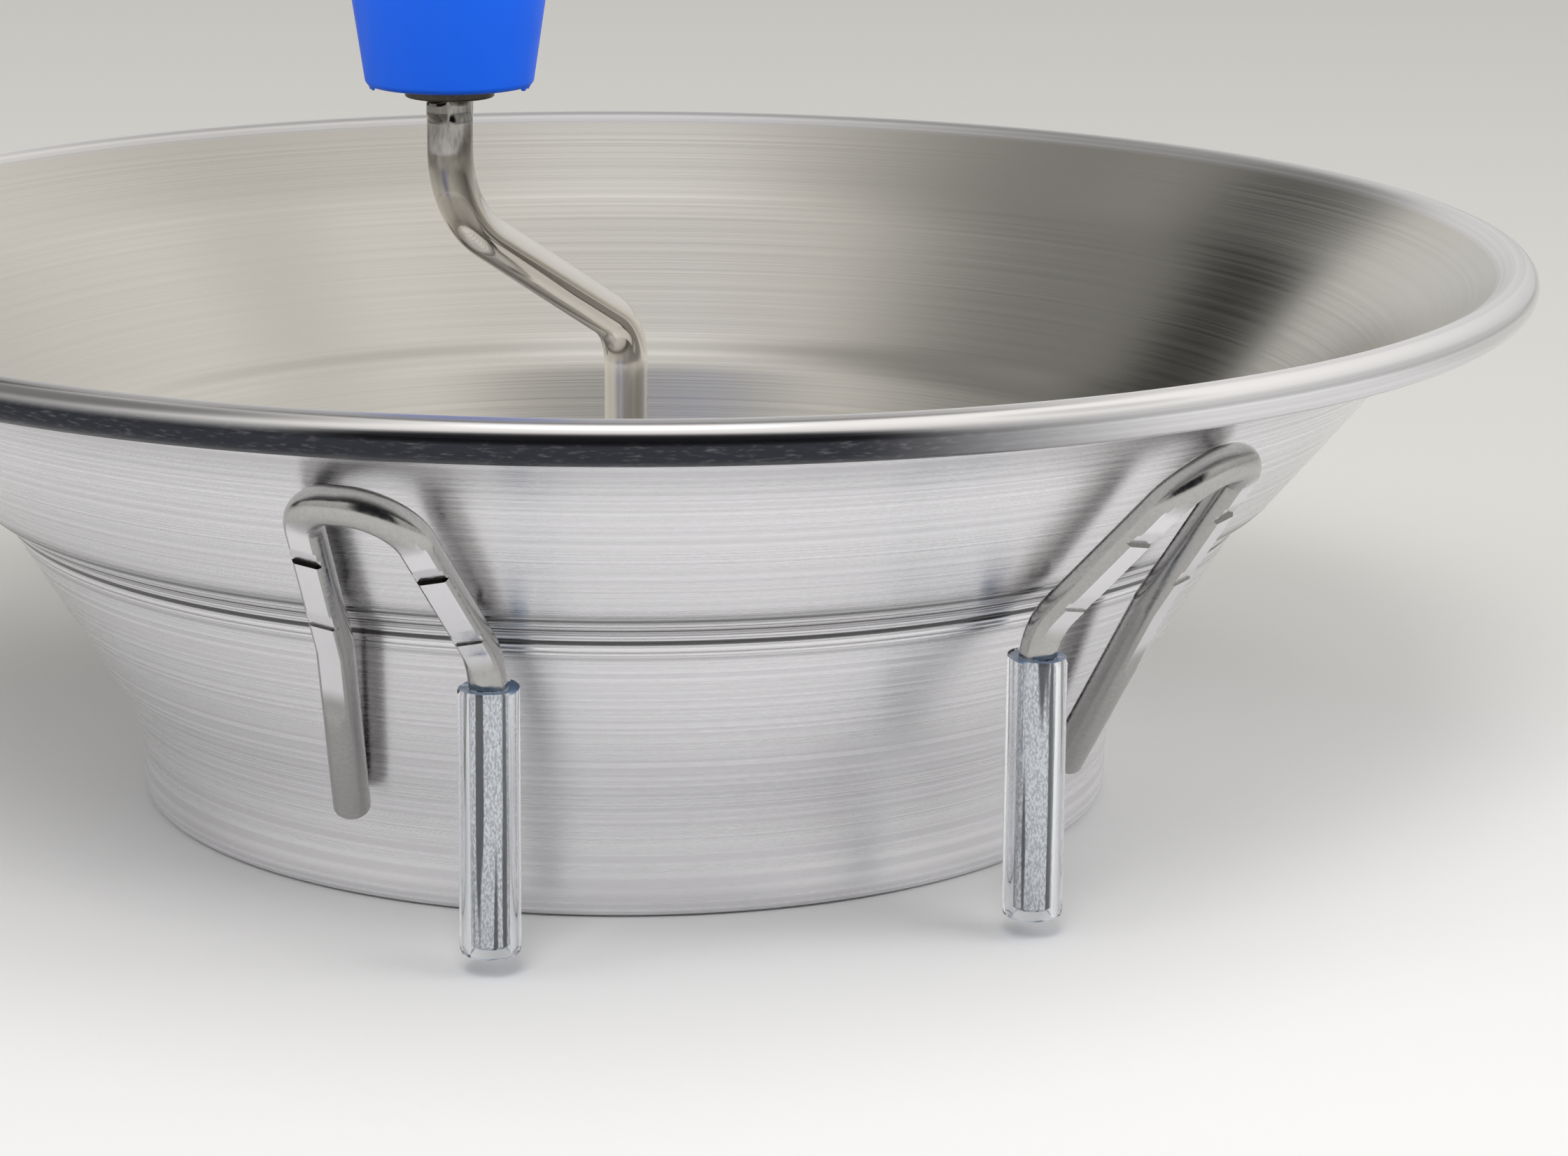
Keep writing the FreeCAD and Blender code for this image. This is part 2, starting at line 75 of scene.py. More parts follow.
# Turning ridges on the ledge's outer face
RIDGE_STEP = 0.17 * MM
RIDGE_PITCH = 1.05 * MM
RIDGE_DEPTH = 0.11 * MM
RIDGE_FROM = 48.6 * MM
RIDGE_TO = 57.4 * MM
RIDGE_FADE = 1.0 * MM

# Slit where the rolled edge meets the flare: lip and foot are shares of its depth, margin of its width
SLIT_WIDTH = 0.5 * MM
SLIT_DEPTH = 0.75 * MM
SLIT_LIP = 0.1
SLIT_FOOT = 0.8
SLIT_MARGIN = 1.2

# Legs: a centre line in mm as (radius, sideways, height), from the dropped limb's end to the weld on the wall
WIRE_RADIUS = 3.0 * MM
LEG_AZIMUTHS = (15.0, 73.0, 195.0, 253.0)
LEG_SIDES = (-1.0, 1.0, -1.0, 1.0)
# Strength of the painted black shade in each leg's notch steps: full on the legs at 15 and 195 degrees, less
# on the other two
NOTCH_SHADE_BY_LEG = (1.0, 0.45, 1.0, 0.45)
LEG_POINTS = (
    (111.5, -12.4, 4.7),
    (111.5, -12.4, 49.296),
    (140.0, -8.4, 78.809),
    (136.1, 8.2, 78.009),
    (113.6, 11.3, 50.5),
    (89.04, 18.2, 18.0),
)
LEG_BENDS = (14.0, 8.2, 7.4, 18.0)
LEG_STEP = 0.25 * MM
WIRE_SIDES = 44
END_CHAMFER = 0.45 * MM

# Block of the hopper's inside that trims a leg at its weld
WELD_GAP = 0.05 * MM
BLOCK_LOW = 6.0 * MM
BLOCK_HIGH = 48.0 * MM
BLOCK_INNER_RADIUS = 0.6 * NECK_RADIUS
BLOCK_HALF_ANGLE = 12.0
BLOCK_TURNS = 31

# Pressed marks on the sloping limbs: corners by number, and places in mm down from a limb's top corner
SLEEVED_LIMB = {"top": 2, "bottom": 1, "flat": (9.0, 40.0), "notches": (15.9, 32.6)}
WELDED_LIMB = {"top": 3, "bottom": 4, "flat": (5.0, 48.0), "notches": (12.6, 27.9)}
FLAT_DEPTH = 0.7 * MM
FLAT_BLEND = 5.0 * MM
FLAT_FACING = (0.86, 0.95)
NOTCH_DEPTHS = (0.6 * MM, 0.35 * MM)
NOTCH_RAMP = 3.6 * MM
# Share of the painted shade in the step of each notch
NOTCH_SHADE_SHARES = (1.0, 0.6)
STEP_HALF = 0.5 * MM
STEP_FACING = -0.3
BACK_PRESS = 0.5 * MM
BACK_BLEND = 1.5 * MM

# Sleeves
SLEEVE_INNER = 3.05 * MM
SLEEVE_OUTER = 4.75 * MM
SLEEVE_BOTTOM = 3.4 * MM
SLEEVE_TOP = 45.5 * MM
SLEEVE_STEP = 1.0 * MM
SLEEVE_BEND_ANGLE = math.radians(8.0)
SLEEVE_BEND_STEPS = 6
SLEEVE_RAGGED = 0.28 * MM
SLEEVE_RAGGED_SCALE = 1.7
SLEEVE_SEED_STEP = 7.0
SLEEVE_ROUND = 0.25 * MM
SLEEVE_SIDES = 40
SLEEVE_CUT_FACING = 0.6

# Handle strap: its top face as (radius, height)
HANDLE_AZIMUTH = 270.0
STRAP_WIDTH = 28.0 * MM
STRAP_THICKNESS = 2.5 * MM
STRAP_END = 345.0 * MM
STRAP_TOP = (
    (113.318 * MM, 56.993 * MM),
    (119.617 * MM, 64.5 * MM),
    (172.0 * MM, 102.556 * MM),
    (STRAP_END, 133.061 * MM),
)
STRAP_BENDS = (12.5 * MM, 24.0 * MM)
STRAP_CORNER = 0.9 * MM
STRAP_CORNER_STEPS = 5
STRAP_STEP = 2.0 * MM
STRAP_END_STEPS = 32
STRAP_END_SHARE = 0.999
STRAP_LEAST_SQUARE = 1e-9
HANG_HOLE_RADIUS = 5.0 * MM
HANG_HOLE_SIDES = 64
DRILL_LENGTH = 8 * STRAP_THICKNESS

# Crank rod: its centre line as (radius, sideways, height)
ROD_RADIUS = 3.75 * MM
ROD_FOOT = 0.3 * MM
ROD_TOP = 184.2 * MM
TIP_RADIUS = 3.0 * MM
TIP_TOP = 2.7 * MM
CRANK_AZIMUTH = 352.0
CRANK_THROW = 44.5 * MM
ROD_POINTS = (
    (0.0, 0.0, ROD_FOOT),
    (0.0, 0.0, 79.9 * MM),
    (CRANK_THROW, 0.0, 105.0 * MM),
    (CRANK_THROW, 0.0, ROD_TOP),
)
ROD_BENDS = (10.0 * MM, 18.0 * MM)
ROD_STEP = 0.5 * MM
ROD_SIDES = 48

# Crimp on the rod: two ears in the plane of the bends, and dents between them
CRIMP_CENTRE = 122.6 * MM
CRIMP_HALF = 2.0 * MM
CRIMP_CORE = 0.45
CRIMP_PROUD = 0.75 * MM
CRIMP_DENT = 0.35 * MM
CRIMP_EAR_FROM = 0.75

# Knob: its profile's heights are above its foot
KNOB_BOTTOM = 126.2 * MM
KNOB_HEIGHT = 61.99 * MM
KNOB_BORE = 3.8 * MM
KNOB_FOOT_RADIUS = 13.6 * MM
KNOB_BELLY = (19.4 * MM, 39.0 * MM)
KNOB_CROWN_RADIUS = 15.5 * MM
KNOB_RECESS_RADIUS = 6.4 * MM
KNOB_RECESS_FLOOR = 55.0 * MM
KNOB_BENDS = (1.2 * MM, 30.0 * MM, 9.0 * MM)
KNOB_STEP = 0.8 * MM
KNOB_SEGMENTS = 160

# Moulding flash on the knob's foot
FLASH_AZIMUTHS = (303.0, 318.0, 104.0, 118.0)
FLASH_LENGTH = 2.6 * MM
FLASH_DROP = 0.9 * MM
FLASH_THICKNESS = 0.18 * MM
FLASH_ROOT_OUT = 0.9 * MM
FLASH_ROOT_HEIGHT = 0.25 * MM
FLASH_TIP_OUT = 0.5 * MM
FLASH_UNEVEN = 0.4
FLASH_RIPPLES = 3
FLASH_STEPS = 10

# Washer under the knob
WASHER_INNER = 3.77 * MM
WASHER_OUTER = 7.3 * MM
WASHER_LOW = 124.3 * MM
WASHER_HIGH = 125.9 * MM
WASHER_ROUND = 0.35 * MM
WASHER_STEP = 1.0 * MM
WASHER_SEGMENTS = 96

# Camera, fitted to the rim, the ledge and the legs
CAMERA_AZIMUTH = 32.0
CAMERA_DISTANCE = 788.43 * MM
CAMERA_HEIGHT = 229.64 * MM
CAMERA_PAN = 0.0349769
CAMERA_TILT = -0.2417496
CAMERA_ROLL = 0.00756996
CAMERA_LENS = 106.74
CAMERA_SENSOR = 36.0

# Stage: the floor turns greyer over a stretch of its depth, measured from the axis away from the camera
FLOOR_RADIUS = 7.0
FLOOR_DROP = 0.1 * MM
FLOOR_SIDES = 96
FLOOR_FADE = (-0.04, 0.16)
FLOOR_NEAR_TONES = ((0.82, 0.82, 0.825), (0.80, 0.80, 0.805))
FLOOR_FAR = (0.70, 0.695, 0.68)

# Lamps: name, azimuth, distance, height, size, power and colour
LAMP_AIM = Vector((0.0, 0.0, 0.06))
LAMPS = (
    ("front", 24.0, 1.2, 1.35, 0.7, 12.0, (1.0, 0.99, 0.98)),
    ("top", 300.0, 0.7, 1.6, 1.5, 2.0, (1.0, 0.99, 0.97)),
    ("right", 100.0, 1.3, 0.7, 0.9, 6.5, (0.98, 0.99, 1.0)),
    ("left", 320.0, 1.3, 0.7, 0.9, 3.0, (0.98, 0.99, 1.0)),
)

# Surroundings, and patches in them: azimuth, elevation, inner and outer half-angle in degrees, and tint
HORIZON = (0.62, 0.62, 0.61)
ZENITH = (1.02, 1.0, 0.95)
SKY_RISE = (-0.05, 0.9)
WEDGE_DARK = (0.01, 0.01, 0.01)
WORLD_PATCHES = (
    (30.0, 17.0, 29.0, 43.0, (0.015, 0.015, 0.02)),
    (288.0, 48.0, 9.0, 34.0, (0.19, 0.187, 0.175)),
    (274.0, 7.0, 10.0, 14.0, WEDGE_DARK),
    (267.0, 22.0, 10.0, 14.0, WEDGE_DARK),
    (256.0, 32.0, 10.0, 14.0, WEDGE_DARK),
    (243.0, 37.0, 9.0, 13.0, WEDGE_DARK),
    (120.0, 54.0, 4.0, 13.0, (0.70, 0.69, 0.66)),
    (212.0, 56.0, 12.0, 22.0, (0.04, 0.04, 0.04)),
    (32.0, 87.0, 7.0, 14.0, (1.5, 1.5, 1.5)),
)

# Masks that rise or fall, and the usual spreads of a noise's values
RISING = (0.0, 1.0)
FALLING = (1.0, 0.0)
NOISE_SPREAD = (0.3, 0.7)
NOISE_MIDDLE = (0.35, 0.65)

# Mix node's colour sockets, by number
MIX_FIRST = 6
MIX_SECOND = 7
MIX_RESULT = 2

# Hopper steel
WALL_RUN = 0.64
WALL_CLIMB = 0.77
INSIDE_FACING = (-0.004, 0.004)
BEAD_EDGE = (147.6 * MM, 148.6 * MM)
RING_TONES = ((0.80, 0.79, 0.81), (0.93, 0.92, 0.94))
# Inside tones: painted shade and a painted warm reflection make the inside darker and warmer than the
# outside, mixed by random smudges
INSIDE_SHADE_AND_SMUDGE_TONES = ((0.675, 0.655, 0.617), (0.595, 0.578, 0.546))
# Painted shade: broken dark lines in a band round the ledge, over its turning ridges
LEDGE_LINES = (48.5 * MM, 56.5 * MM)
LEDGE_LINES_EDGE = 1.2 * MM
LEDGE_LINES_SPREAD = (0.42, 0.54)
LEDGE_LINES_SHADE_STRENGTH = 0.9
LEDGE_LINES_PAINTED_SHADE = (0.05, 0.05, 0.05)
# Painted shade on the bead's underside: dark, broken by scratches, fading towards the right of the view
UNDERSIDE = (92.2 * MM, 94.6 * MM)
UNDERSIDE_ACROSS = (30.0 * MM, 90.0 * MM)
UNDERSIDE_FADE = (1.0, 0.2)
UNDERSIDE_WEAR = (0.50, 0.80)
UNDERSIDE_WORN = (1.0, 0.90)
UNDERSIDE_PAINTED_SHADE = (0.035, 0.037, 0.045)
HOPPER_ROUGH = (0.24, 0.30)
INSIDE_ROUGHER = 0.06
CREST = (152.4 * MM, 153.4 * MM)
CREST_POLISH = (-0.14, 0.10)
HOPPER_ANISOTROPY = 0.8
HOPPER_ANISOTROPY_TURN = 0.25

# Wire steel
WIRE_TONES = ((0.36, 0.355, 0.345), (0.52, 0.515, 0.50))
WIRE_ROUGH = (0.15, 0.25)
SILVER_TONES = ((0.42, 0.42, 0.43), (0.70, 0.70, 0.71))
STREAK_SPREAD = (0.43, 0.53)
STREAK_STRENGTH = (0.92, 0.0)
STREAK_DARK = (0.03, 0.03, 0.035)
FLAT_TONES = ((0.90, 0.89, 0.91), (0.82, 0.81, 0.83))
# Painted shade: the near-black colour of each notch's step
NOTCH_PAINTED_SHADE = (0.012, 0.011, 0.010)

# Rod steel
ROD_TONES = ((0.90, 0.87, 0.82), (0.82, 0.79, 0.74))
ROD_ROUGH = (0.05, 0.10)
# Painted shade and reflection: the rod darkens up towards the washer, broken by scratches
ROD_SHADE_HEIGHTS = (102.0 * MM, 119.0 * MM)
ROD_SHADE_STRENGTH = (0.0, 0.85)
ROD_SHADE_SCRATCHED = (1.0, 0.75)
ROD_PAINTED_SHADE = (0.05, 0.047, 0.042)

# Plain steels: bright tone, dull tone, lowest and highest roughness, and how the scratches are stretched
PLAIN_STEELS = {
    "handle_steel": ((0.70, 0.69, 0.67), (0.62, 0.61, 0.59), (0.31, 0.36), (0.15, 1.0, 1.0)),
    # The washer's steel is painted near black as shade under the knob
    "knob_washer_shaded_steel": ((0.10, 0.09, 0.08), (0.05, 0.045, 0.04), (0.25, 0.40), (1.0, 1.0, 1.0)),
    "mechanism_steel": ((0.70, 0.69, 0.67), (0.60, 0.59, 0.57), (0.29, 0.34), (0.2, 1.0, 1.0)),
    "spring_steel": ((0.58, 0.57, 0.55), (0.48, 0.47, 0.45), (0.18, 0.30), (1.0, 1.0, 1.0)),
    "sieve_steel": ((0.72, 0.71, 0.69), (0.62, 0.61, 0.59), (0.31, 0.36), (0.2, 1.0, 1.0)),
}

# Clear vinyl
VINYL_TONES = ((0.97, 0.985, 1.0), (0.93, 0.965, 1.0))
VINYL_CUT = (0.28, 0.43, 0.68)
VINYL_CUT_CLARITY = (1.0, 0.35)
VINYL_ROUGH = (0.01, 0.04)
VINYL_IOR = 1.42

# Knob plastic
KNOB_TONES = ((0.003, 0.132, 0.96), (0.004, 0.146, 1.0))
KNOB_ROUGH = (0.42, 0.56)
KNOB_SPECULAR = 0.35
SCUFF_SPREAD = (0.66, 0.78)
SCUFF_STRENGTH = (0.0, 0.35)
SCUFF_PALE = (0.10, 0.26, 0.88)


def outward(azimuth):
    """Unit vectors away from the axis and round it at an azimuth."""
    angle = math.radians(azimuth)
    radial = Vector((math.sin(angle), -math.cos(angle), 0.0))
    round_axis = Vector((math.cos(angle), math.sin(angle), 0.0))
    return radial, round_axis


def placed(point, azimuth):
    """A point given as (radius, sideways, height), turned to an azimuth."""
    radial, round_axis = outward(azimuth)
    return radial * point[0] + round_axis * point[1] + UP * point[2]


def upright(pairs):
    """Points of an upright profile from pairs of radius and height."""
    return [Vector((radius, 0.0, height)) for radius, height in pairs]


def add_run(line, end, step):
    """Extend a line straight to an end in even steps."""
    start = line[-1].copy()
    count = max(1, math.ceil((end - start).length / step))
    for i in range(1, count + 1):
        line.append(start.lerp(end, i / count))


def rounded(points, bends, step, run=None):
    """Points along straight runs with each inner corner rounded by a tangent arc."""
    run = run or step
    line = [points[0].copy()]
    for corner, after, bend in zip(points[1:-1], points[2:], bends):
        back = (line[-1] - corner).normalized()
        ahead = (after - corner).normalized()
        half_turn = (math.pi - back.angle(ahead)) / 2
        first = corner + back * (bend * math.tan(half_turn))
        centre = corner + (back + ahead).normalized() * (bend / math.cos(half_turn))
        add_run(line, first, run)
        spoke = first - centre
        axis = spoke.cross(-back).normalized()
        count = max(ARC_LEAST_STEPS, math.ceil(2 * half_turn * bend / step),
                    math.ceil(half_turn / ARC_HALF_STEP))
        for i in range(1, count + 1):
            line.append(centre + Quaternion(axis, 2 * half_turn * i / count) @ spoke)
    add_run(line, points[-1], run)
    return line


def smooth_step(low, high, value):
    """0 below one value, 1 above another, and a smooth rise between them."""
    part = min(1.0, max(0.0, (value - low) / (high - low)))
    return part * part * (3.0 - 2.0 * part)


def plateau(value, first, last, blend):
    """1 between two values, with a smooth blend before the first and after the last."""
    return smooth_step(first - blend, first, value) * (1.0 - smooth_step(last, last + blend, value))


def linked(name, data):
    """A new object in the scene."""
    made = bpy.data.objects.new(name, data)
    bpy.context.scene.collection.objects.link(made)
    return made


def mesh_object(name, verts, faces, sharp=SHARP_EDGE):
    """A shaded object from points and faces, with its normals facing out."""
    mesh = bpy.data.meshes.new(name)
    mesh.from_pydata(verts, [], faces)
    work = bmesh.new()
    work.from_mesh(mesh)
    bmesh.ops.recalc_face_normals(work, faces=work.faces)
    for face in work.faces:
        face.smooth = True
    work.to_mesh(mesh)
    work.free()
    mesh.set_sharp_from_angle(angle=math.radians(sharp))
    return linked(name, mesh)


def work_object(name, work):
    """An object from a finished work mesh."""
    mesh = bpy.data.meshes.new(name)
    work.to_mesh(mesh)
    work.free()
    return linked(name, mesh)


def ring_faces(rings, size, closed):
    """Quads between rings of equal size that follow each other."""
    faces = []
    last = rings if closed else rings - 1
    for i in range(last):
        j = (i + 1) % rings
        for k in range(size):
            m = (k + 1) % size
            faces.append((i * size + k, i * size + m, j * size + m, j * size + k))
    return faces


def capped(name, verts, rings, sharp=SHARP_EDGE):
    """An object from rings of equal size, with a face over each end."""
    size = len(verts) // rings
    faces = ring_faces(rings, size, False)
    faces.append(tuple(range(size)))
    faces.append(tuple(range(len(verts) - size, len(verts))))
    return mesh_object(name, verts, faces, sharp)


def lathe(name, line, segments, axis=Vector((0.0, 0.0, 0.0))):
    """Revolve a closed profile about an upright axis."""
    verts = []
    for turn in range(segments):
        angle = 2 * math.pi * (turn + 0.5) / segments
        for point in line:
            verts.append(axis + Vector((point.x * math.cos(angle), point.x * math.sin(angle), point.z)))
    return mesh_object(name, verts, ring_faces(segments, len(line), True))


def carried_frames(path, normal):
    """The path's points, each with its tangent and a normal carried along without twist."""
    frames = []
    for i, point in enumerate(path):
        tangent = (path[min(i + 1, len(path) - 1)] - path[max(i - 1, 0)]).normalized()
        normal = (normal - tangent * normal.dot(tangent)).normalized()
        frames.append((point, tangent, normal.copy()))
    return frames


def cut_away(piece, cutter, sharp):
    """Take a cutter's volume out of a piece, and the cutter out of the scene."""
    cut = piece.modifiers.new("cut", "BOOLEAN")
    cut.operation = "DIFFERENCE"
    cut.solver = "EXACT"
    cut.object = cutter
    graph = bpy.context.evaluated_depsgraph_get()
    made = bpy.data.meshes.new_from_object(piece.evaluated_get(graph))
    piece.modifiers.clear()
    piece.data = made
    made.set_sharp_from_angle(angle=math.radians(sharp))
    bpy.data.objects.remove(cutter)


def inset(corners, depth):
    """Corners of a profile moved inwards by a depth along each stretch's normal."""
    lines = []
    for first, last in zip(corners, corners[1:]):
        along = (last - first).normalized()
        lines.append((first + Vector((-along.z, 0.0, along.x)) * depth, along))
    moved = [lines[0][0]]
    for (point, along), (next_point, next_along) in zip(lines, lines[1:]):
        cross = along.x * next_along.z - along.z * next_along.x
        gap = next_point - point
        moved.append(point + along * ((gap.x * next_along.z - gap.z * next_along.x) / cross))
    length = (corners[-1] - corners[-2]).length
    moved.append(lines[-1][0] + lines[-1][1] * length)
    return moved


def ridged(line):
    """Turning ridges on the stretch of a profile at the ledge."""
    fine = [line[0]]
    for point in line[1:]:
        middle = (fine[-1].z + point.z) / 2
        add_run(fine, point, RIDGE_STEP if RIDGE_FROM < middle < RIDGE_TO else HOPPER_RUN)
    place = 0.0
    raised = []
    for i, point in enumerate(fine):
        before = fine[max(i - 1, 0)]
        after = fine[min(i + 1, len(fine) - 1)]
        place += (point - before).length
        along = (after - before).normalized()
        normal = Vector((along.z, 0.0, -along.x))
        strength = plateau(point.z, RIDGE_FROM + RIDGE_FADE, RIDGE_TO - RIDGE_FADE, RIDGE_FADE)
        wave = (math.sin(2 * math.pi * place / RIDGE_PITCH) - 1.0) / 2
        raised.append(point + normal * (strength * RIDGE_DEPTH * wave))
    return raised


def flare_frame():
    """The bead's centre, unit vectors along the flare and up from it, and where the flare meets the bead."""
    centre = Vector((RIM_RADIUS - BEAD_RADIUS, 0.0, BEAD_HEIGHT))
    run = centre.x - FLARE_START_RADIUS
    climb = centre.z - FLARE_START_HEIGHT
    turn = math.atan2(climb, run) + math.asin((BEAD_RADIUS - SHEET) / math.hypot(run, climb))
    along = Vector((math.cos(turn), 0.0, math.sin(turn)))
    up = Vector((-math.sin(turn), 0.0, math.cos(turn)))
    chord = math.sqrt(BEAD_RADIUS ** 2 - (BEAD_RADIUS - SHEET) ** 2)
    flare_end = centre + up * (BEAD_RADIUS - SHEET) - along * chord
    return centre, along, up, flare_end


def wall_line(depth):
    """The wall's profile at a depth below its outer face; a negative depth lies outside."""
    flare_end = flare_frame()[3]
    corners = upright((
        (SEAT_RADIUS, 0.0),
        (NECK_RADIUS, 0.0),
        (NECK_RADIUS, NECK_HEIGHT),
        LEDGE_INNER,
        LEDGE_OUTER,
        (FLARE_START_RADIUS, FLARE_START_HEIGHT),
        (flare_end.x, flare_end.z),
    ))
    bends = (SEAT_BEND, NECK_BEND, LEDGE_BEND, LEDGE_BEND, FLARE_BEND)
    turns_in = (True, False, False, True, False)
    depth_bends = [bend - depth if left else bend + depth for bend, left in zip(bends, turns_in)]
    return rounded(inset(corners, depth), depth_bends, HOPPER_STEP, HOPPER_RUN)


def make_hopper():
    """Spun sheet: seat, neck, lower cone, ledge, upper cone, flare and rolled bead."""
    centre, along, up, flare_end = flare_frame()
    outer = ridged(wall_line(0.0))
    outer = [point for point in outer if (point - flare_end).length > SLIT_MARGIN * SLIT_WIDTH]
    slit_lip = flare_end - along * SLIT_WIDTH
    slit = [
        slit_lip + up * SLIT_DEPTH * SLIT_LIP,
        slit_lip + up * SLIT_DEPTH,
        flare_end + up * SLIT_DEPTH * SLIT_FOOT,
    ]
    from_angle = math.atan2(flare_end.z - centre.z, flare_end.x - centre.x)
    sweep_angle = (math.atan2(up.z, up.x) - from_angle) % (2 * math.pi)
    curl = []
    for i in range(1, BEAD_STEPS + 1):
        angle = from_angle + sweep_angle * i / BEAD_STEPS
        curl.append(centre + Vector((math.cos(angle), 0.0, math.sin(angle))) * BEAD_RADIUS)
    inner = wall_line(SHEET)
    return lathe("hopper_visual", outer + slit + [flare_end] + curl + inner[::-1], HOPPER_SEGMENTS)


def limb_frame(points, limb):
    """A sloping limb's top corner, its direction down, and the way its pressed face looks."""
    top = points[limb["top"]]
    down = (points[limb["bottom"]] - top).normalized()
    radial = Vector((top.x, top.y, 0.0)).normalized()
    out = (radial - down * radial.dot(down)).normalized()
    return top, down, out


def press_level(place, limb):
    """How far out from its axis the wire's pressed face lies, at a place down the limb."""
    start, end = [value * MM for value in limb["flat"]]
    level = WIRE_RADIUS - FLAT_DEPTH * plateau(place, start, end, FLAT_BLEND)
    for notch, depth in zip(limb["notches"], NOTCH_DEPTHS):
        part = (place - notch * MM + NOTCH_RAMP) / NOTCH_RAMP
        if 0.0 < part <= 1.0:
            level -= depth * part
    return level


def back_level(place, limb):
    """How far the wire's back reaches; the press leaves it a little lower between the notches."""
    upper, lower = [value * MM for value in limb["notches"]]
    return WIRE_RADIUS - BACK_PRESS * plateau(place, upper, lower - BACK_BLEND, BACK_BLEND)


def make_leg(name, azimuth, side, notch_shade_strength):
    """Wire hairpin with pressed flats and notches on its sloping limbs, trimmed to the wall."""
    points = [placed(Vector((r, side * t, z)) * MM, azimuth) for r, t, z in LEG_POINTS]
    path = rounded(points, [bend * MM for bend in LEG_BENDS], LEG_STEP)
    apex = (points[SLEEVED_LIMB["top"]] + points[WELDED_LIMB["top"]]) / 2
    turn = min(range(len(path)), key=lambda i: (path[i] - apex).length)
    verts = []
    for i, (point, tangent, normal) in enumerate(carried_frames(path, outward(azimuth)[0])):
        limb = SLEEVED_LIMB if i < turn else WELDED_LIMB
        top, down, out = limb_frame(points, limb)
        place = (point - top).dot(down)
        level = press_level(place, limb)
        back = back_level(place, limb)
        chamfer = min(1.0, (point - path[0]).length / END_CHAMFER)
        radius = WIRE_RADIUS - END_CHAMFER * (1.0 - chamfer)
        across = tangent.cross(normal)
        for k in range(WIRE_SIDES):
            angle = 2 * math.pi * k / WIRE_SIDES
            spot = (normal * math.cos(angle) + across * math.sin(angle)) * radius
            reach = spot.dot(out)
            spot += out * (max(-back, min(level, reach)) - reach)
            verts.append(point + spot)
    leg = capped(name, verts, len(path), SHARP_WIRE)
    cut_away(leg, wall_block(points[-1]), SHARP_WIRE)
    mark_presses(leg.data, points, apex, notch_shade_strength)
    return leg


def wall_block(near):
    """A block of the hopper's inside up to just past its wall, round one place."""
    line = [point for point in wall_line(-WELD_GAP) if BLOCK_LOW < point.z < BLOCK_HIGH]
    loop = line + upright(((BLOCK_INNER_RADIUS, line[-1].z), (BLOCK_INNER_RADIUS, line[0].z)))
    middle = math.degrees(math.atan2(near.x, -near.y))
    verts = []
    for turn in range(BLOCK_TURNS):
        azimuth = middle + BLOCK_HALF_ANGLE * (2.0 * turn / (BLOCK_TURNS - 1) - 1.0)
        for point in loop:
            verts.append(placed(point, azimuth))
    return capped("wall_block", verts, BLOCK_TURNS)


def mark_presses(mesh, points, apex, notch_shade_strength):
    """Mark the wire's pressed faces, each notch's step with the strength of its painted shade, and the
    sleeved drop for its material.
    """
    flat_mark = mesh.attributes.new("pressed", "FLOAT", "FACE")
    # The step mark carries the strength of the painted shade in each notch's step
    notch_shade_mark = mesh.attributes.new("step", "FLOAT", "FACE")
    drop_mark = mesh.attributes.new("drop", "FLOAT", "FACE")
    sideways = (points[WELDED_LIMB["top"]] - points[SLEEVED_LIMB["top"]]).normalized()
    for face in mesh.polygons:
        sleeved = (face.center - apex).dot(sideways) < 0.0
        limb = SLEEVED_LIMB if sleeved else WELDED_LIMB
        top, down, out = limb_frame(points, limb)
        place = (face.center - top).dot(down)
        start, end = [value * MM for value in limb["flat"]]
        bright = plateau(place, start, end - FLAT_BLEND, FLAT_BLEND)
        flat_mark.data[face.index].value = bright * smooth_step(*FLAT_FACING, face.normal.dot(out))
        tone = 0.0
        for notch, share in zip(limb["notches"], NOTCH_SHADE_SHARES):
            if abs(place - notch * MM) < STEP_HALF and face.normal.dot(down) < STEP_FACING:
                tone = share * notch_shade_strength
        notch_shade_mark.data[face.index].value = tone
        drop_mark.data[face.index].value = 1.0 if sleeved and face.center.z < SLEEVE_TOP else 0.0


def sleeve_path(azimuth, side):
    """A sleeve's centre line: up the dropped limb and a little way into its bend."""
    drop, rise = [Vector((r, side * t, z)) * MM for r, t, z in LEG_POINTS[1:3]]
    bend = LEG_BENDS[0] * MM
    rising = (rise - drop).normalized()
    heading = Vector((rising.x, rising.y, 0.0)).normalized()
    bend_start = drop - UP * (bend * math.tan(rising.angle(UP) / 2))
    path = [Vector((drop.x, drop.y, SLEEVE_BOTTOM))]
    add_run(path, bend_start, SLEEVE_STEP)
    for i in range(1, SLEEVE_BEND_STEPS + 1):
        angle = SLEEVE_BEND_ANGLE * i / SLEEVE_BEND_STEPS
        path.append(bend_start + heading * bend * (1.0 - math.cos(angle)) + UP * (bend * math.sin(angle)))
    return [placed(point, azimuth) for point in path]


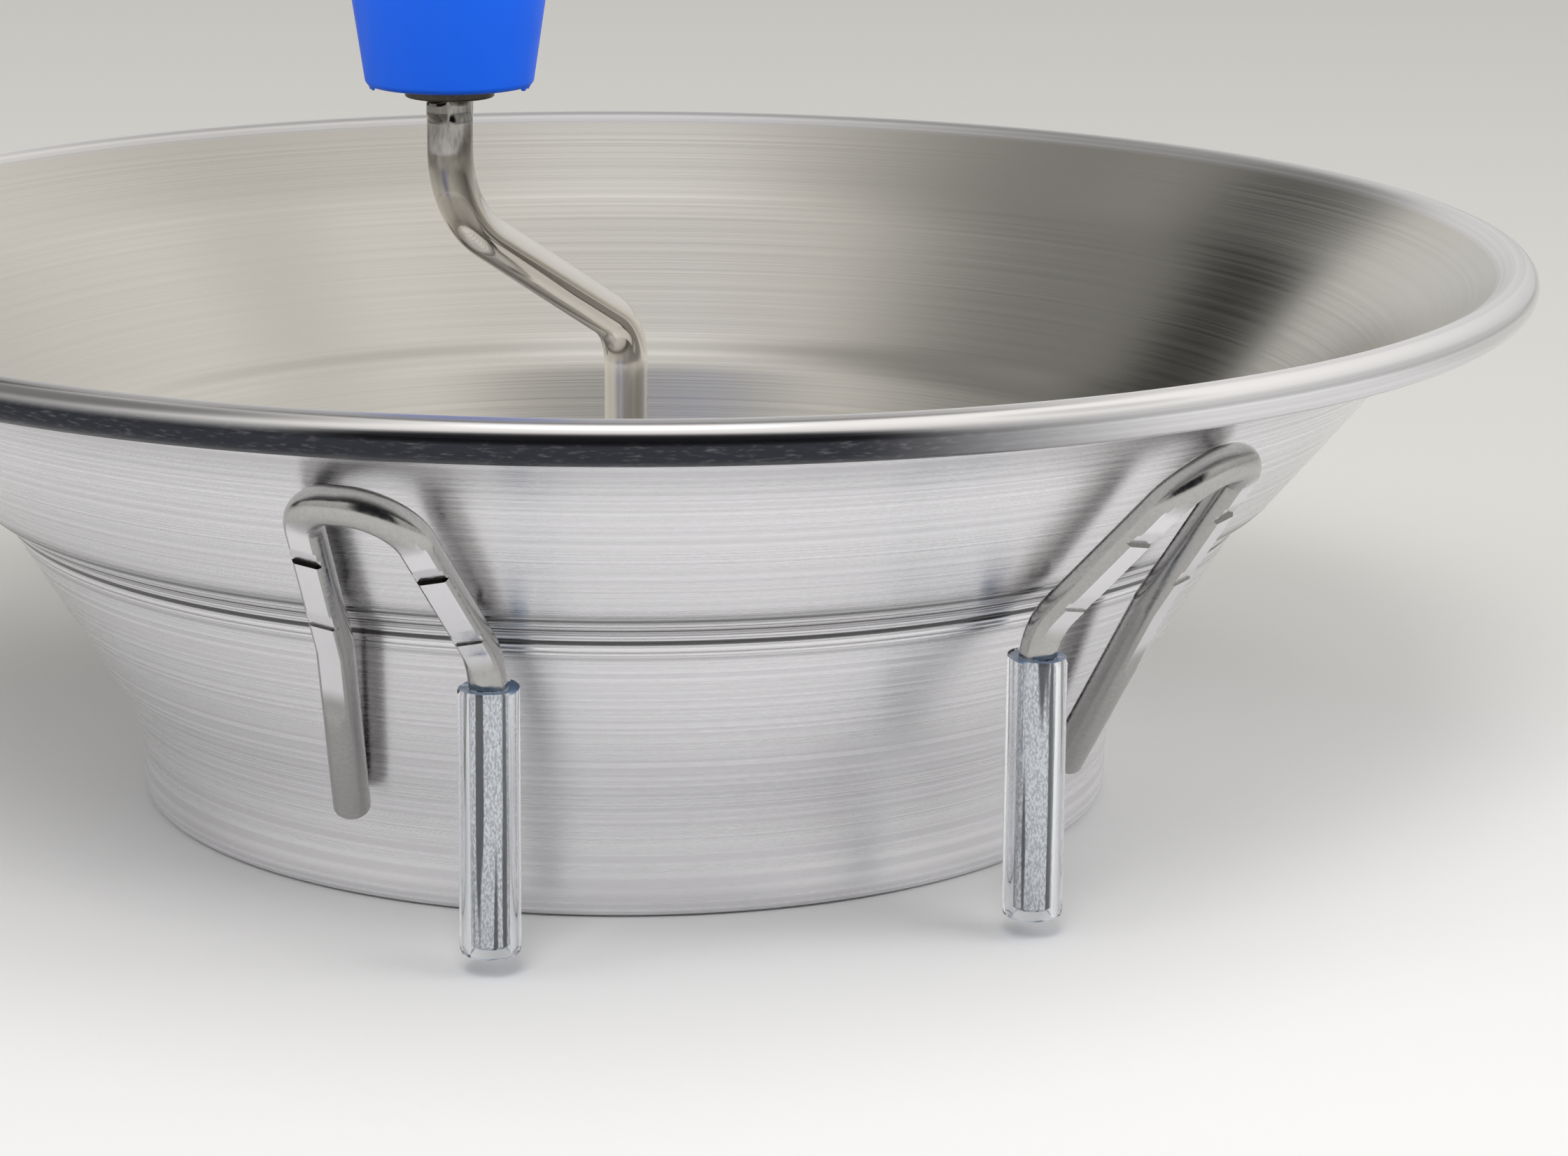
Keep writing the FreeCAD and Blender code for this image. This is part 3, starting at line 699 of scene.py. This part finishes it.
def make_sleeve(name, azimuth, side, seed):
    """Clear tube on a dropped limb, cut level and a little unevenly, its top just entering the bend."""
    frames = carried_frames(sleeve_path(azimuth, side), outward(azimuth)[0])
    last = len(frames) - 1
    loops = [(SLEEVE_OUTER, i) for i in range(len(frames))]
    loops += [(SLEEVE_INNER, i) for i in range(last, -1, -1)]
    verts = []
    for wall, i in loops:
        point, tangent, normal = frames[i]
        across = tangent.cross(normal)
        at_end = i in (0, last)
        radius = wall - SLEEVE_ROUND if at_end and wall == SLEEVE_OUTER else wall
        for k in range(SLEEVE_SIDES):
            angle = 2 * math.pi * k / SLEEVE_SIDES
            spot = point + (normal * math.cos(angle) + across * math.sin(angle)) * radius
            if i == last:
                spot += tangent * ((point.z - spot.z) / tangent.z)
            if at_end:
                seen = Vector((math.cos(angle), math.sin(angle), seed + i)) * SLEEVE_RAGGED_SCALE
                ragged = 0.5 + 0.5 * noise.noise(seen)
                spot += tangent * (SLEEVE_RAGGED * ragged * (1.0 if i == 0 else -1.0))
            verts.append(spot)
    sleeve = mesh_object(name, verts, ring_faces(len(loops), SLEEVE_SIDES, True), SHARP_SLEEVE)
    cut_mark = sleeve.data.attributes.new("cut", "FLOAT", "FACE")
    for face in sleeve.data.polygons:
        cut_mark.data[face.index].value = 1.0 if abs(face.normal.z) > SLEEVE_CUT_FACING else 0.0
    return sleeve


def make_strap():
    """Bent strap with rounded edges, a round end and a hanging hole."""
    top = upright(STRAP_TOP)
    half = STRAP_WIDTH / 2
    hole_place = STRAP_END - half
    stations = [point for point in rounded(top, STRAP_BENDS, STRAP_STEP) if point.x < hole_place]
    direction = (top[-1] - top[-2]).normalized()
    hole_top = top[-2] + direction * ((hole_place - top[-2].x) / direction.x)
    reach = half / direction.x
    for i in range(STRAP_END_STEPS + 1):
        angle = math.pi / 2 * min(i / STRAP_END_STEPS, STRAP_END_SHARE)
        stations.append(hole_top + direction * (reach * math.sin(angle)))
    verts = []
    for i, point in enumerate(stations):
        after = stations[min(i + 1, len(stations) - 1)]
        before = stations[max(i - 1, 0)]
        along = (after - before).normalized()
        normal = Vector((-along.z, 0.0, along.x))
        past_hole = max(0.0, point.x - hole_place)
        half_width = math.sqrt(max(STRAP_LEAST_SQUARE, half ** 2 - past_hole ** 2))
        for out, across in strap_section(half_width):
            spot = point + normal * (out - STRAP_THICKNESS)
            end_reach = hole_place + math.sqrt(max(0.0, half ** 2 - across ** 2))
            reach_here = min(end_reach, math.sqrt(spot.x ** 2 - across ** 2))
            verts.append(placed((reach_here, across, spot.z), HANDLE_AZIMUTH))
    strap = capped("handle_visual", verts, len(stations), SHARP_BAR)
    normal = Vector((-direction.z, 0.0, direction.x))
    middle = placed(hole_top - normal * (STRAP_THICKNESS / 2), HANDLE_AZIMUTH)
    drill_hang_hole(strap, middle, placed(normal, HANDLE_AZIMUTH))
    return strap


def strap_section(half_width):
    """Rounded rectangle as (height above the under-face, sideways)."""
    corner = min(STRAP_CORNER, STRAP_THICKNESS / 2, half_width)
    points = []
    places = (
        (half_width - corner, STRAP_THICKNESS - corner, 0.0),
        (corner - half_width, STRAP_THICKNESS - corner, math.pi / 2),
        (corner - half_width, corner, math.pi),
        (half_width - corner, corner, 1.5 * math.pi),
    )
    for across, height, start in places:
        for i in range(STRAP_CORNER_STEPS + 1):
            angle = start + math.pi / 2 * i / STRAP_CORNER_STEPS
            points.append((height + corner * math.sin(angle), across + corner * math.cos(angle)))
    return points


def drill_hang_hole(strap, centre, axis):
    """Cut the round hanging hole through the strap."""
    work = bmesh.new()
    turn = axis.to_track_quat("Z", "Y").to_matrix().to_4x4()
    bmesh.ops.create_cone(work, cap_ends=True, segments=HANG_HOLE_SIDES, radius1=HANG_HOLE_RADIUS,
                          radius2=HANG_HOLE_RADIUS, depth=DRILL_LENGTH,
                          matrix=Matrix.Translation(centre) @ turn)
    cut_away(strap, work_object("drill", work), SHARP_BAR)


def rod_section(point):
    """Offsets round the rod at a point: chamfered ends, the thin tip, and the crimp's ears and dents."""
    radius = TIP_RADIUS if point.z < TIP_TOP else ROD_RADIUS
    to_end = max(0.0, min(point.z - ROD_FOOT, ROD_TOP - point.z))
    radius -= END_CHAMFER * (1.0 - min(1.0, to_end / END_CHAMFER))
    near = 1.0 - smooth_step(CRIMP_CORE, 1.0, abs(point.z - CRIMP_CENTRE) / CRIMP_HALF)
    offsets = []
    for k in range(ROD_SIDES):
        angle = 2 * math.pi * k / ROD_SIDES
        ear = CRIMP_PROUD * max(0.0, abs(math.cos(angle)) - CRIMP_EAR_FROM) / (1.0 - CRIMP_EAR_FROM)
        dent = CRIMP_DENT * math.sin(angle) ** 2
        reach = radius + near * (ear - dent)
        offsets.append((reach * math.cos(angle), reach * math.sin(angle)))
    return offsets


def make_rod():
    """Crank rod with its two bends, the thin tip and the crimp under the knob's washer."""
    path = rounded([placed(point, CRANK_AZIMUTH) for point in ROD_POINTS], ROD_BENDS, ROD_STEP)
    verts = []
    for point, tangent, normal in carried_frames(path, outward(CRANK_AZIMUTH)[0]):
        side = tangent.cross(normal)
        for out, across in rod_section(point):
            verts.append(point + normal * out + side * across)
    return capped("crank_rod_visual", verts, len(path), SHARP_BAR)


def knob_axis(height):
    """The point of the knob's axis at a height."""
    return placed((CRANK_THROW, 0.0, height), CRANK_AZIMUTH)


def make_knob():
    """Moulded knob, widest two thirds up, with a recess in its crown."""
    outside = rounded(upright((
        (KNOB_BORE, 0.0),
        (KNOB_FOOT_RADIUS, 0.0),
        KNOB_BELLY,
        (KNOB_CROWN_RADIUS, KNOB_HEIGHT),
        (KNOB_RECESS_RADIUS, KNOB_HEIGHT),
    )), KNOB_BENDS, KNOB_STEP)
    recess = upright(((KNOB_RECESS_RADIUS, KNOB_RECESS_FLOOR), (KNOB_BORE, KNOB_RECESS_FLOOR)))
    return lathe("crank_knob_visual", outside + recess, KNOB_SEGMENTS, knob_axis(KNOB_BOTTOM))


def make_knob_flash():
    """Thin slivers of moulding flash left along the knob's bottom edge."""
    verts = []
    faces = []
    edge = KNOB_FOOT_RADIUS - KNOB_BENDS[0]
    centre = knob_axis(KNOB_BOTTOM)
    for number, azimuth in enumerate(FLASH_AZIMUTHS):
        base = len(verts)
        for i in range(FLASH_STEPS + 1):
            part = i / FLASH_STEPS
            radial = outward(azimuth + math.degrees(FLASH_LENGTH / edge) * (part - 0.5))[0]
            ripple = noise.noise(Vector((number, part * FLASH_RIPPLES, 0)))
            drop = FLASH_DROP * math.sin(math.pi * part) * (1.0 - FLASH_UNEVEN + FLASH_UNEVEN * ripple)
            for thick in (0.0, FLASH_THICKNESS):
                verts.append(centre + radial * (edge + FLASH_ROOT_OUT - thick) + UP * FLASH_ROOT_HEIGHT)
                verts.append(centre + radial * (edge + FLASH_TIP_OUT - thick) - UP * max(0.0, drop))
        for i in range(FLASH_STEPS):
            # Each station has four points: root and tip of the outer face, then of the inner one
            a = base + 4 * i
            b = a + 4
            faces.append((a, b, b + 1, a + 1))
            faces.append((a + 2, a + 3, b + 3, b + 2))
            faces.append((a + 1, b + 1, b + 3, a + 3))
            faces.append((a, a + 2, b + 2, b))
    return mesh_object("knob_flash_visual", verts, faces)


def make_knob_washer():
    """Flat washer under the knob, its outer edges rounded."""
    corners = upright((
        (WASHER_INNER, WASHER_LOW),
        (WASHER_OUTER, WASHER_LOW),
        (WASHER_OUTER, WASHER_HIGH),
        (WASHER_INNER, WASHER_HIGH),
    ))
    line = rounded(corners, (WASHER_ROUND, WASHER_ROUND), WASHER_STEP)
    return lathe("knob_washer_visual", line, WASHER_SEGMENTS, knob_axis(0.0))


def node_tree(name):
    """A new material with its node tree and its shader."""
    material = bpy.data.materials.new(name)
    material.use_nodes = True
    tree = material.node_tree
    return material, tree, tree.nodes["Principled BSDF"]


def wire_up(tree, shader, colour, roughness, normal):
    """Link a material's colour, roughness and normal to its shader."""
    tree.links.new(colour, shader.inputs["Base Color"])
    tree.links.new(roughness, shader.inputs["Roughness"])
    tree.links.new(normal, shader.inputs["Normal"])


def math_node(tree, operation, first, second=None):
    """An operation on one or two values, each a link or a number."""
    node = tree.nodes.new("ShaderNodeMath")
    node.operation = operation
    for socket, value in zip(node.inputs, (first, second)):
        if isinstance(value, (int, float)):
            socket.default_value = value
        elif value is not None:
            tree.links.new(value, socket)
    return node.outputs[0]


def times(tree, first, second):
    """The product of two values."""
    return math_node(tree, "MULTIPLY", first, second)


def map_range(tree, value, source, target):
    """A value carried smoothly from one range to another, and held at its ends."""
    node = tree.nodes.new("ShaderNodeMapRange")
    node.interpolation_type = "SMOOTHSTEP"
    tree.links.new(value, node.inputs["Value"])
    node.inputs["From Min"].default_value = source[0]
    node.inputs["From Max"].default_value = source[1]
    node.inputs["To Min"].default_value = target[0]
    node.inputs["To Max"].default_value = target[1]
    return node.outputs["Result"]


def band(tree, value, limits, edge):
    """1 between two limits of a measure, fading to 0 over an edge at each end."""
    low, high = limits
    rise = map_range(tree, value, (low - edge, low + edge), RISING)
    fall = map_range(tree, value, (high - edge, high + edge), FALLING)
    return times(tree, rise, fall)


def noise_node(tree, scale, detail, vector=None, w=None, roughness=0.5):
    """Noise in space, or along one measure when w is given."""
    node = tree.nodes.new("ShaderNodeTexNoise")
    node.noise_dimensions = "1D" if w is not None else "3D"
    node.inputs["Scale"].default_value = scale
    node.inputs["Detail"].default_value = detail
    node.inputs["Roughness"].default_value = roughness
    if vector is not None:
        tree.links.new(vector, node.inputs["Vector"])
    if w is not None:
        tree.links.new(w, node.inputs["W"])
    return node.outputs["Fac"]


def tone_noise(tree, place):
    """Broad, faint changes of tone for plain metal."""
    return noise_node(tree, scale=55.0, detail=4.0, vector=place, roughness=0.6)


def mix_colours(tree, fac, first, second):
    """A mix of two colours, each a link or a tuple."""
    node = tree.nodes.new("ShaderNodeMix")
    node.data_type = "RGBA"
    tree.links.new(fac, node.inputs["Factor"])
    for socket, value in ((node.inputs[MIX_FIRST], first), (node.inputs[MIX_SECOND], second)):
        if isinstance(value, tuple):
            socket.default_value = value + (1.0,)
        else:
            tree.links.new(value, socket)
    return node.outputs[MIX_RESULT]


def bump_node(tree, height, strength, distance):
    """A normal disturbed by a height."""
    node = tree.nodes.new("ShaderNodeBump")
    node.inputs["Strength"].default_value = strength
    node.inputs["Distance"].default_value = distance
    tree.links.new(height, node.inputs["Height"])
    return node.outputs["Normal"]


def object_coordinates(tree):
    """Places in the piece's own frame."""
    return tree.nodes.new("ShaderNodeTexCoord").outputs["Object"]


def split_axes(tree, vector):
    """The x, y and z of a vector."""
    node = tree.nodes.new("ShaderNodeSeparateXYZ")
    tree.links.new(vector, node.inputs["Vector"])
    return node.outputs


def face_mark(tree, name):
    """A number that the mesh carries on its faces."""
    node = tree.nodes.new("ShaderNodeAttribute")
    node.attribute_name = name
    return node.outputs["Fac"]


def stretched(tree, vector, scale):
    """A vector scaled along each axis; a small scale draws a noise out along that axis."""
    node = tree.nodes.new("ShaderNodeMapping")
    node.inputs["Scale"].default_value = scale
    tree.links.new(vector, node.inputs["Vector"])
    return node.outputs["Vector"]


def dot_node(tree, first, second):
    """Dot product of a vector with another, which may be fixed."""
    node = tree.nodes.new("ShaderNodeVectorMath")
    node.operation = "DOT_PRODUCT"
    tree.links.new(first, node.inputs[0])
    if isinstance(second, Vector):
        node.inputs[1].default_value = second
    else:
        tree.links.new(second, node.inputs[1])
    return node.outputs["Value"]


def painted_bead_underside_shade(tree, place, height, bead):
    """How strong the painted shade on the bead's underside is: a little worn by scratches, and fading towards
    the right of the view.
    """
    grain = stretched(tree, place, (0.2, 0.2, 1.0))
    scratch = noise_node(tree, scale=2200.0, detail=2.0, vector=grain, roughness=0.6)
    across = dot_node(tree, place, outward(CAMERA_AZIMUTH + 90.0)[0])
    under = times(tree, bead, map_range(tree, height, UNDERSIDE, FALLING))
    under = times(tree, under, map_range(tree, across, UNDERSIDE_ACROSS, UNDERSIDE_FADE))
    return times(tree, under, map_range(tree, scratch, UNDERSIDE_WEAR, UNDERSIDE_WORN))


def make_hopper_steel():
    """Spun steel: rings round the axis, satin inside and painted darker and warmer there as shade and
    reflection, polished on the bead's outer side, with painted shade in lines at the ledge and under the
    bead.
    """
    material, tree, shader = node_tree("hopper_steel_visual")
    place = object_coordinates(tree)
    x, y, z = split_axes(tree, place)
    radius = math_node(tree, "SQRT", math_node(tree, "ADD", times(tree, x, x), times(tree, y, y)))
    along = math_node(tree, "ADD", times(tree, radius, WALL_RUN), times(tree, z, WALL_CLIMB))
    normal = tree.nodes.new("ShaderNodeNewGeometry").outputs["Normal"]
    bead = map_range(tree, radius, BEAD_EDGE, RISING)
    inside = map_range(tree, dot_node(tree, normal, place), INSIDE_FACING, FALLING)
    inside = times(tree, inside, math_node(tree, "SUBTRACT", 1.0, bead))
    rings = noise_node(tree, scale=900.0, detail=3.0, w=along, roughness=0.7)
    lines = noise_node(tree, scale=420.0, detail=2.0, w=along, roughness=0.7)
    smudge = noise_node(tree, scale=11.0, detail=3.0, vector=place)
    colour = mix_colours(tree, map_range(tree, rings, NOISE_MIDDLE, RISING), *RING_TONES)
    # Painted shade: dark lines in the band round the ledge
    ledge = band(tree, z, LEDGE_LINES, LEDGE_LINES_EDGE)
    ledge = times(tree, ledge, map_range(tree, lines, LEDGE_LINES_SPREAD, FALLING))
    colour = mix_colours(tree, times(tree, ledge, LEDGE_LINES_SHADE_STRENGTH), colour, LEDGE_LINES_PAINTED_SHADE)
    # Painted shade: the bead's underside is coloured near black
    colour = mix_colours(tree, painted_bead_underside_shade(tree, place, z, bead), colour, UNDERSIDE_PAINTED_SHADE)
    # Painted shade and reflection: the inside is coloured darker and warmer, with smudges
    colour = mix_colours(tree, inside, colour, mix_colours(tree, smudge, *INSIDE_SHADE_AND_SMUDGE_TONES))
    rough = map_range(tree, rings, NOISE_SPREAD, HOPPER_ROUGH)
    rough = math_node(tree, "ADD", rough, times(tree, inside, INSIDE_ROUGHER))
    polish = times(tree, bead, map_range(tree, radius, CREST, CREST_POLISH))
    rough = math_node(tree, "SUBTRACT", rough, polish)
    wire_up(tree, shader, colour, rough, bump_node(tree, rings, strength=0.4, distance=0.08 * MM))
    shader.inputs["Metallic"].default_value = 1.0
    shader.inputs["Anisotropic"].default_value = HOPPER_ANISOTROPY
    shader.inputs["Anisotropic Rotation"].default_value = HOPPER_ANISOTROPY_TURN
    tangent = tree.nodes.new("ShaderNodeTangent")
    tangent.direction_type = "RADIAL"
    tangent.axis = "Z"
    tree.links.new(tangent.outputs["Tangent"], shader.inputs["Tangent"])
    return material


def make_wire_steel():
    """Drawn wire: speckled grey, bright where pressed, painted black shade in a notch's step, silvery in a
    sleeve.
    """
    material, tree, shader = node_tree("leg_wire_steel_visual")
    place = object_coordinates(tree)
    drop = face_mark(tree, "drop")
    speckle = noise_node(tree, scale=1500.0, detail=2.0, vector=place, roughness=0.7)
    tone = noise_node(tree, scale=90.0, detail=3.0, vector=place)
    streak = noise_node(tree, scale=800.0, detail=1.0, vector=stretched(tree, place, (1.0, 1.0, 0.02)))
    streak = times(tree, drop, map_range(tree, streak, STREAK_SPREAD, STREAK_STRENGTH))
    sparkle = noise_node(tree, scale=4000.0, detail=1.0, vector=stretched(tree, place, (1.0, 1.0, 0.4)))
    silvered = mix_colours(tree, map_range(tree, sparkle, NOISE_MIDDLE, RISING), *SILVER_TONES)
    colour = mix_colours(tree, drop, mix_colours(tree, speckle, *WIRE_TONES), silvered)
    colour = mix_colours(tree, streak, colour, STREAK_DARK)
    colour = mix_colours(tree, face_mark(tree, "pressed"), colour, mix_colours(tree, tone, *FLAT_TONES))
    # Painted shade: each notch's step is coloured near black
    colour = mix_colours(tree, face_mark(tree, "step"), colour, NOTCH_PAINTED_SHADE)
    rough = map_range(tree, speckle, NOISE_SPREAD, WIRE_ROUGH)
    wire_up(tree, shader, colour, rough, bump_node(tree, speckle, strength=0.16, distance=0.03 * MM))
    shader.inputs["Metallic"].default_value = 1.0
    return material


def make_steel(name):
    """Plain steel with faint tone changes, fine scratches and uneven roughness."""
    bright, dull, rough_range, grain = PLAIN_STEELS[name]
    material, tree, shader = node_tree(name + "_visual")
    place = object_coordinates(tree)
    grained = stretched(tree, place, grain)
    scratch = noise_node(tree, scale=1300.0, detail=3.0, vector=grained, roughness=0.7)
    colour = mix_colours(tree, tone_noise(tree, place), bright, dull)
    rough = map_range(tree, scratch, NOISE_SPREAD, rough_range)
    wire_up(tree, shader, colour, rough, bump_node(tree, scratch, strength=0.06, distance=0.04 * MM))
    shader.inputs["Metallic"].default_value = 1.0
    return material


def make_rod_steel():
    """Polished rod with a warm tone, and painted shade that darkens it up towards the washer."""
    material, tree, shader = node_tree("crank_steel_visual")
    place = object_coordinates(tree)
    height = split_axes(tree, place)["Z"]
    grained = stretched(tree, place, (1.0, 1.0, 0.3))
    scratch = noise_node(tree, scale=420.0, detail=3.0, vector=grained, roughness=0.7)
    polished = mix_colours(tree, tone_noise(tree, place), *ROD_TONES)
    # Painted shade: darker with height towards the washer
    painted_shade = map_range(tree, height, ROD_SHADE_HEIGHTS, ROD_SHADE_STRENGTH)
    painted_shade = times(tree, painted_shade, map_range(tree, scratch, NOISE_MIDDLE, ROD_SHADE_SCRATCHED))
    colour = mix_colours(tree, painted_shade, polished, ROD_PAINTED_SHADE)
    rough = map_range(tree, scratch, NOISE_SPREAD, ROD_ROUGH)
    wire_up(tree, shader, colour, rough, bump_node(tree, scratch, strength=0.1, distance=0.03 * MM))
    shader.inputs["Metallic"].default_value = 1.0
    return material


def make_vinyl():
    """Clear tube plastic with a faint blue tint, soft surface unevenness and bluer cut ends."""
    material, tree, shader = node_tree("clear_vinyl_visual")
    cut = face_mark(tree, "cut")
    cloud = noise_node(tree, scale=90.0, detail=3.0, vector=object_coordinates(tree))
    colour = mix_colours(tree, cut, mix_colours(tree, cloud, *VINYL_TONES), VINYL_CUT)
    rough = map_range(tree, cloud, NOISE_SPREAD, VINYL_ROUGH)
    wire_up(tree, shader, colour, rough, bump_node(tree, cloud, strength=0.06, distance=0.2 * MM))
    clarity = map_range(tree, cut, RISING, VINYL_CUT_CLARITY)
    tree.links.new(clarity, shader.inputs["Transmission Weight"])
    shader.inputs["IOR"].default_value = VINYL_IOR
    return material


def make_knob_plastic():
    """Blue moulded plastic, matte, with pale scuffs."""
    material, tree, shader = node_tree("knob_plastic_visual")
    place = object_coordinates(tree)
    tone = noise_node(tree, scale=40.0, detail=4.0, vector=place)
    grained = stretched(tree, place, (1.0, 1.0, 0.25))
    scuff = noise_node(tree, scale=240.0, detail=4.0, vector=grained, roughness=0.7)
    scuffed = map_range(tree, scuff, SCUFF_SPREAD, SCUFF_STRENGTH)
    colour = mix_colours(tree, scuffed, mix_colours(tree, tone, *KNOB_TONES), SCUFF_PALE)
    rough = map_range(tree, scuff, NOISE_SPREAD, KNOB_ROUGH)
    wire_up(tree, shader, colour, rough, bump_node(tree, scuff, strength=0.12, distance=0.1 * MM))
    shader.inputs["Specular IOR Level"].default_value = KNOB_SPECULAR
    return material


def make_floor():
    """Pale matte table, a little greyer far away."""
    work = bmesh.new()
    bmesh.ops.create_circle(work, cap_ends=True, segments=FLOOR_SIDES, radius=FLOOR_RADIUS,
                            matrix=Matrix.Translation((0.0, 0.0, -FLOOR_DROP)))
    floor = work_object("floor", work)
    material, tree, shader = node_tree("floor_pale")
    place = object_coordinates(tree)
    depth = dot_node(tree, place, outward(CAMERA_AZIMUTH + 180.0)[0])
    cloud = noise_node(tree, scale=6.0, detail=3.0, vector=place)
    near = mix_colours(tree, cloud, *FLOOR_NEAR_TONES)
    colour = mix_colours(tree, map_range(tree, depth, FLOOR_FADE, RISING), near, FLOOR_FAR)
    tree.links.new(colour, shader.inputs["Base Color"])
    shader.inputs["Roughness"].default_value = 0.7
    shader.inputs["Specular IOR Level"].default_value = 0.2
    floor.data.materials.append(material)


def add_area_light(name, azimuth, distance, height, size, power, colour):
    """A soft square lamp aimed at the hopper, which shows in no reflection."""
    lamp = bpy.data.lights.new(name, "AREA")
    lamp.size = size
    lamp.energy = power
    lamp.color = colour
    lamp_object = linked(name, lamp)
    spot = placed((distance, 0.0, height), azimuth)
    lamp_object.location = spot
    lamp_object.rotation_mode = "QUATERNION"
    lamp_object.rotation_quaternion = (LAMP_AIM - spot).to_track_quat("-Z", "Y")
    lamp_object.visible_glossy = False


def add_world_patch(tree, direction, colour, azimuth, elevation, inner, outer, tint):
    """Blend a tint into the surroundings round one direction."""
    lift = math.radians(elevation)
    aim = placed((math.cos(lift), 0.0, math.sin(lift)), azimuth)
    edge = [math.cos(math.radians(angle)) for angle in (outer, inner)]
    return mix_colours(tree, map_range(tree, dot_node(tree, direction, aim), edge, RISING), colour, tint)


def make_world():
    """Soft studio surroundings: pale all round, bright above, dark towards the viewer."""
    world = bpy.data.worlds.new("studio")
    bpy.context.scene.world = world
    world.use_nodes = True
    tree = world.node_tree
    background = tree.nodes["Background"]
    direction = tree.nodes.new("ShaderNodeTexCoord").outputs["Generated"]
    height = map_range(tree, split_axes(tree, direction)["Z"], SKY_RISE, RISING)
    colour = mix_colours(tree, height, HORIZON, ZENITH)
    for patch in WORLD_PATCHES:
        colour = add_world_patch(tree, direction, colour, *patch)
    tree.links.new(colour, background.inputs["Color"])
    background.inputs["Strength"].default_value = 1.0


def make_camera():
    """Camera from the fitted distance, height, pan, tilt and roll."""
    data = bpy.data.cameras.new("camera")
    data.lens = CAMERA_LENS
    data.sensor_width = CAMERA_SENSOR
    camera = linked("camera", data)
    ahead = Vector((math.sin(CAMERA_PAN) * math.cos(CAMERA_TILT),
                    math.cos(CAMERA_PAN) * math.cos(CAMERA_TILT), math.sin(CAMERA_TILT)))
    right = Vector((math.cos(CAMERA_PAN), -math.sin(CAMERA_PAN), 0.0))
    up = right.cross(ahead)
    rolled_right = right * math.cos(CAMERA_ROLL) + up * math.sin(CAMERA_ROLL)
    rolled_up = up * math.cos(CAMERA_ROLL) - right * math.sin(CAMERA_ROLL)
    turn = Matrix.Rotation(math.radians(CAMERA_AZIMUTH), 4, "Z")
    pose = Matrix((rolled_right, rolled_up, -ahead)).transposed().to_4x4()
    pose.translation = Vector((0.0, -CAMERA_DISTANCE, CAMERA_HEIGHT))
    camera.matrix_world = turn @ pose
    bpy.context.scene.camera = camera


def give(target, material):
    """Make a material a mesh's only one."""
    target.data.materials.clear()
    target.data.materials.append(material)


def show(piece, material, body, nodes):
    """Give a piece its material and its place in the part."""
    give(piece, material)
    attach(piece, body)
    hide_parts(*nodes)


hopper_steel = make_hopper_steel()
wire_steel = make_wire_steel()
strap_steel = make_steel("handle_steel")
rod_steel = make_rod_steel()
# Washer steel painted near black as shade under the knob
washer_shaded_steel = make_steel("knob_washer_shaded_steel")
inner_steel = make_steel("mechanism_steel")
spring_steel = make_steel("spring_steel")
sieve_steel = make_steel("sieve_steel")
vinyl = make_vinyl()
knob_plastic = make_knob_plastic()

show(make_hopper(), hopper_steel, "hopper_body", ["hopper_bowl"])
for number, (azimuth, side, notch_shade_strength) in enumerate(zip(LEG_AZIMUTHS, LEG_SIDES, NOTCH_SHADE_BY_LEG), 1):
    leg = make_leg("leg_wire_%d_visual" % number, azimuth, side, notch_shade_strength)
    show(leg, wire_steel, "hopper_body", ["leg_wire_%d" % number])
    sleeve = make_sleeve("leg_sleeve_%d_visual" % number, azimuth, side, number * SLEEVE_SEED_STEP)
    show(sleeve, vinyl, "hopper_body", ["leg_sleeve_%d" % number])
show(make_strap(), strap_steel, "hopper_body", ["handle_strap"])
show(make_rod(), rod_steel, "crank_body", ["crank_rod"])
show(make_knob_washer(), washer_shaded_steel, "crank_body", ["knob_washer"])
show(make_knob(), knob_plastic, "knob_body", ["crank_knob"])
show(make_knob_flash(), knob_plastic, "knob_body", ["crank_knob"])

# CAD nodes that are carried over and only given a material
for node in ("crossbar", "crossbar_bush", "crossbar_lug_right", "crossbar_lug_left", "blade", "blade_hub",
             "hub_pin", "spring_washer_lower", "spring_washer_upper", "knob_push_nut"):
    give(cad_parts[node], inner_steel)
give(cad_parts["pressure_spring"], spring_steel)
give(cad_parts["sieve_disc"], sieve_steel)

make_floor()
make_world()
for lamp in LAMPS:
    add_area_light(*lamp)
make_camera()
bpy.context.scene.view_settings.view_transform = "Standard"
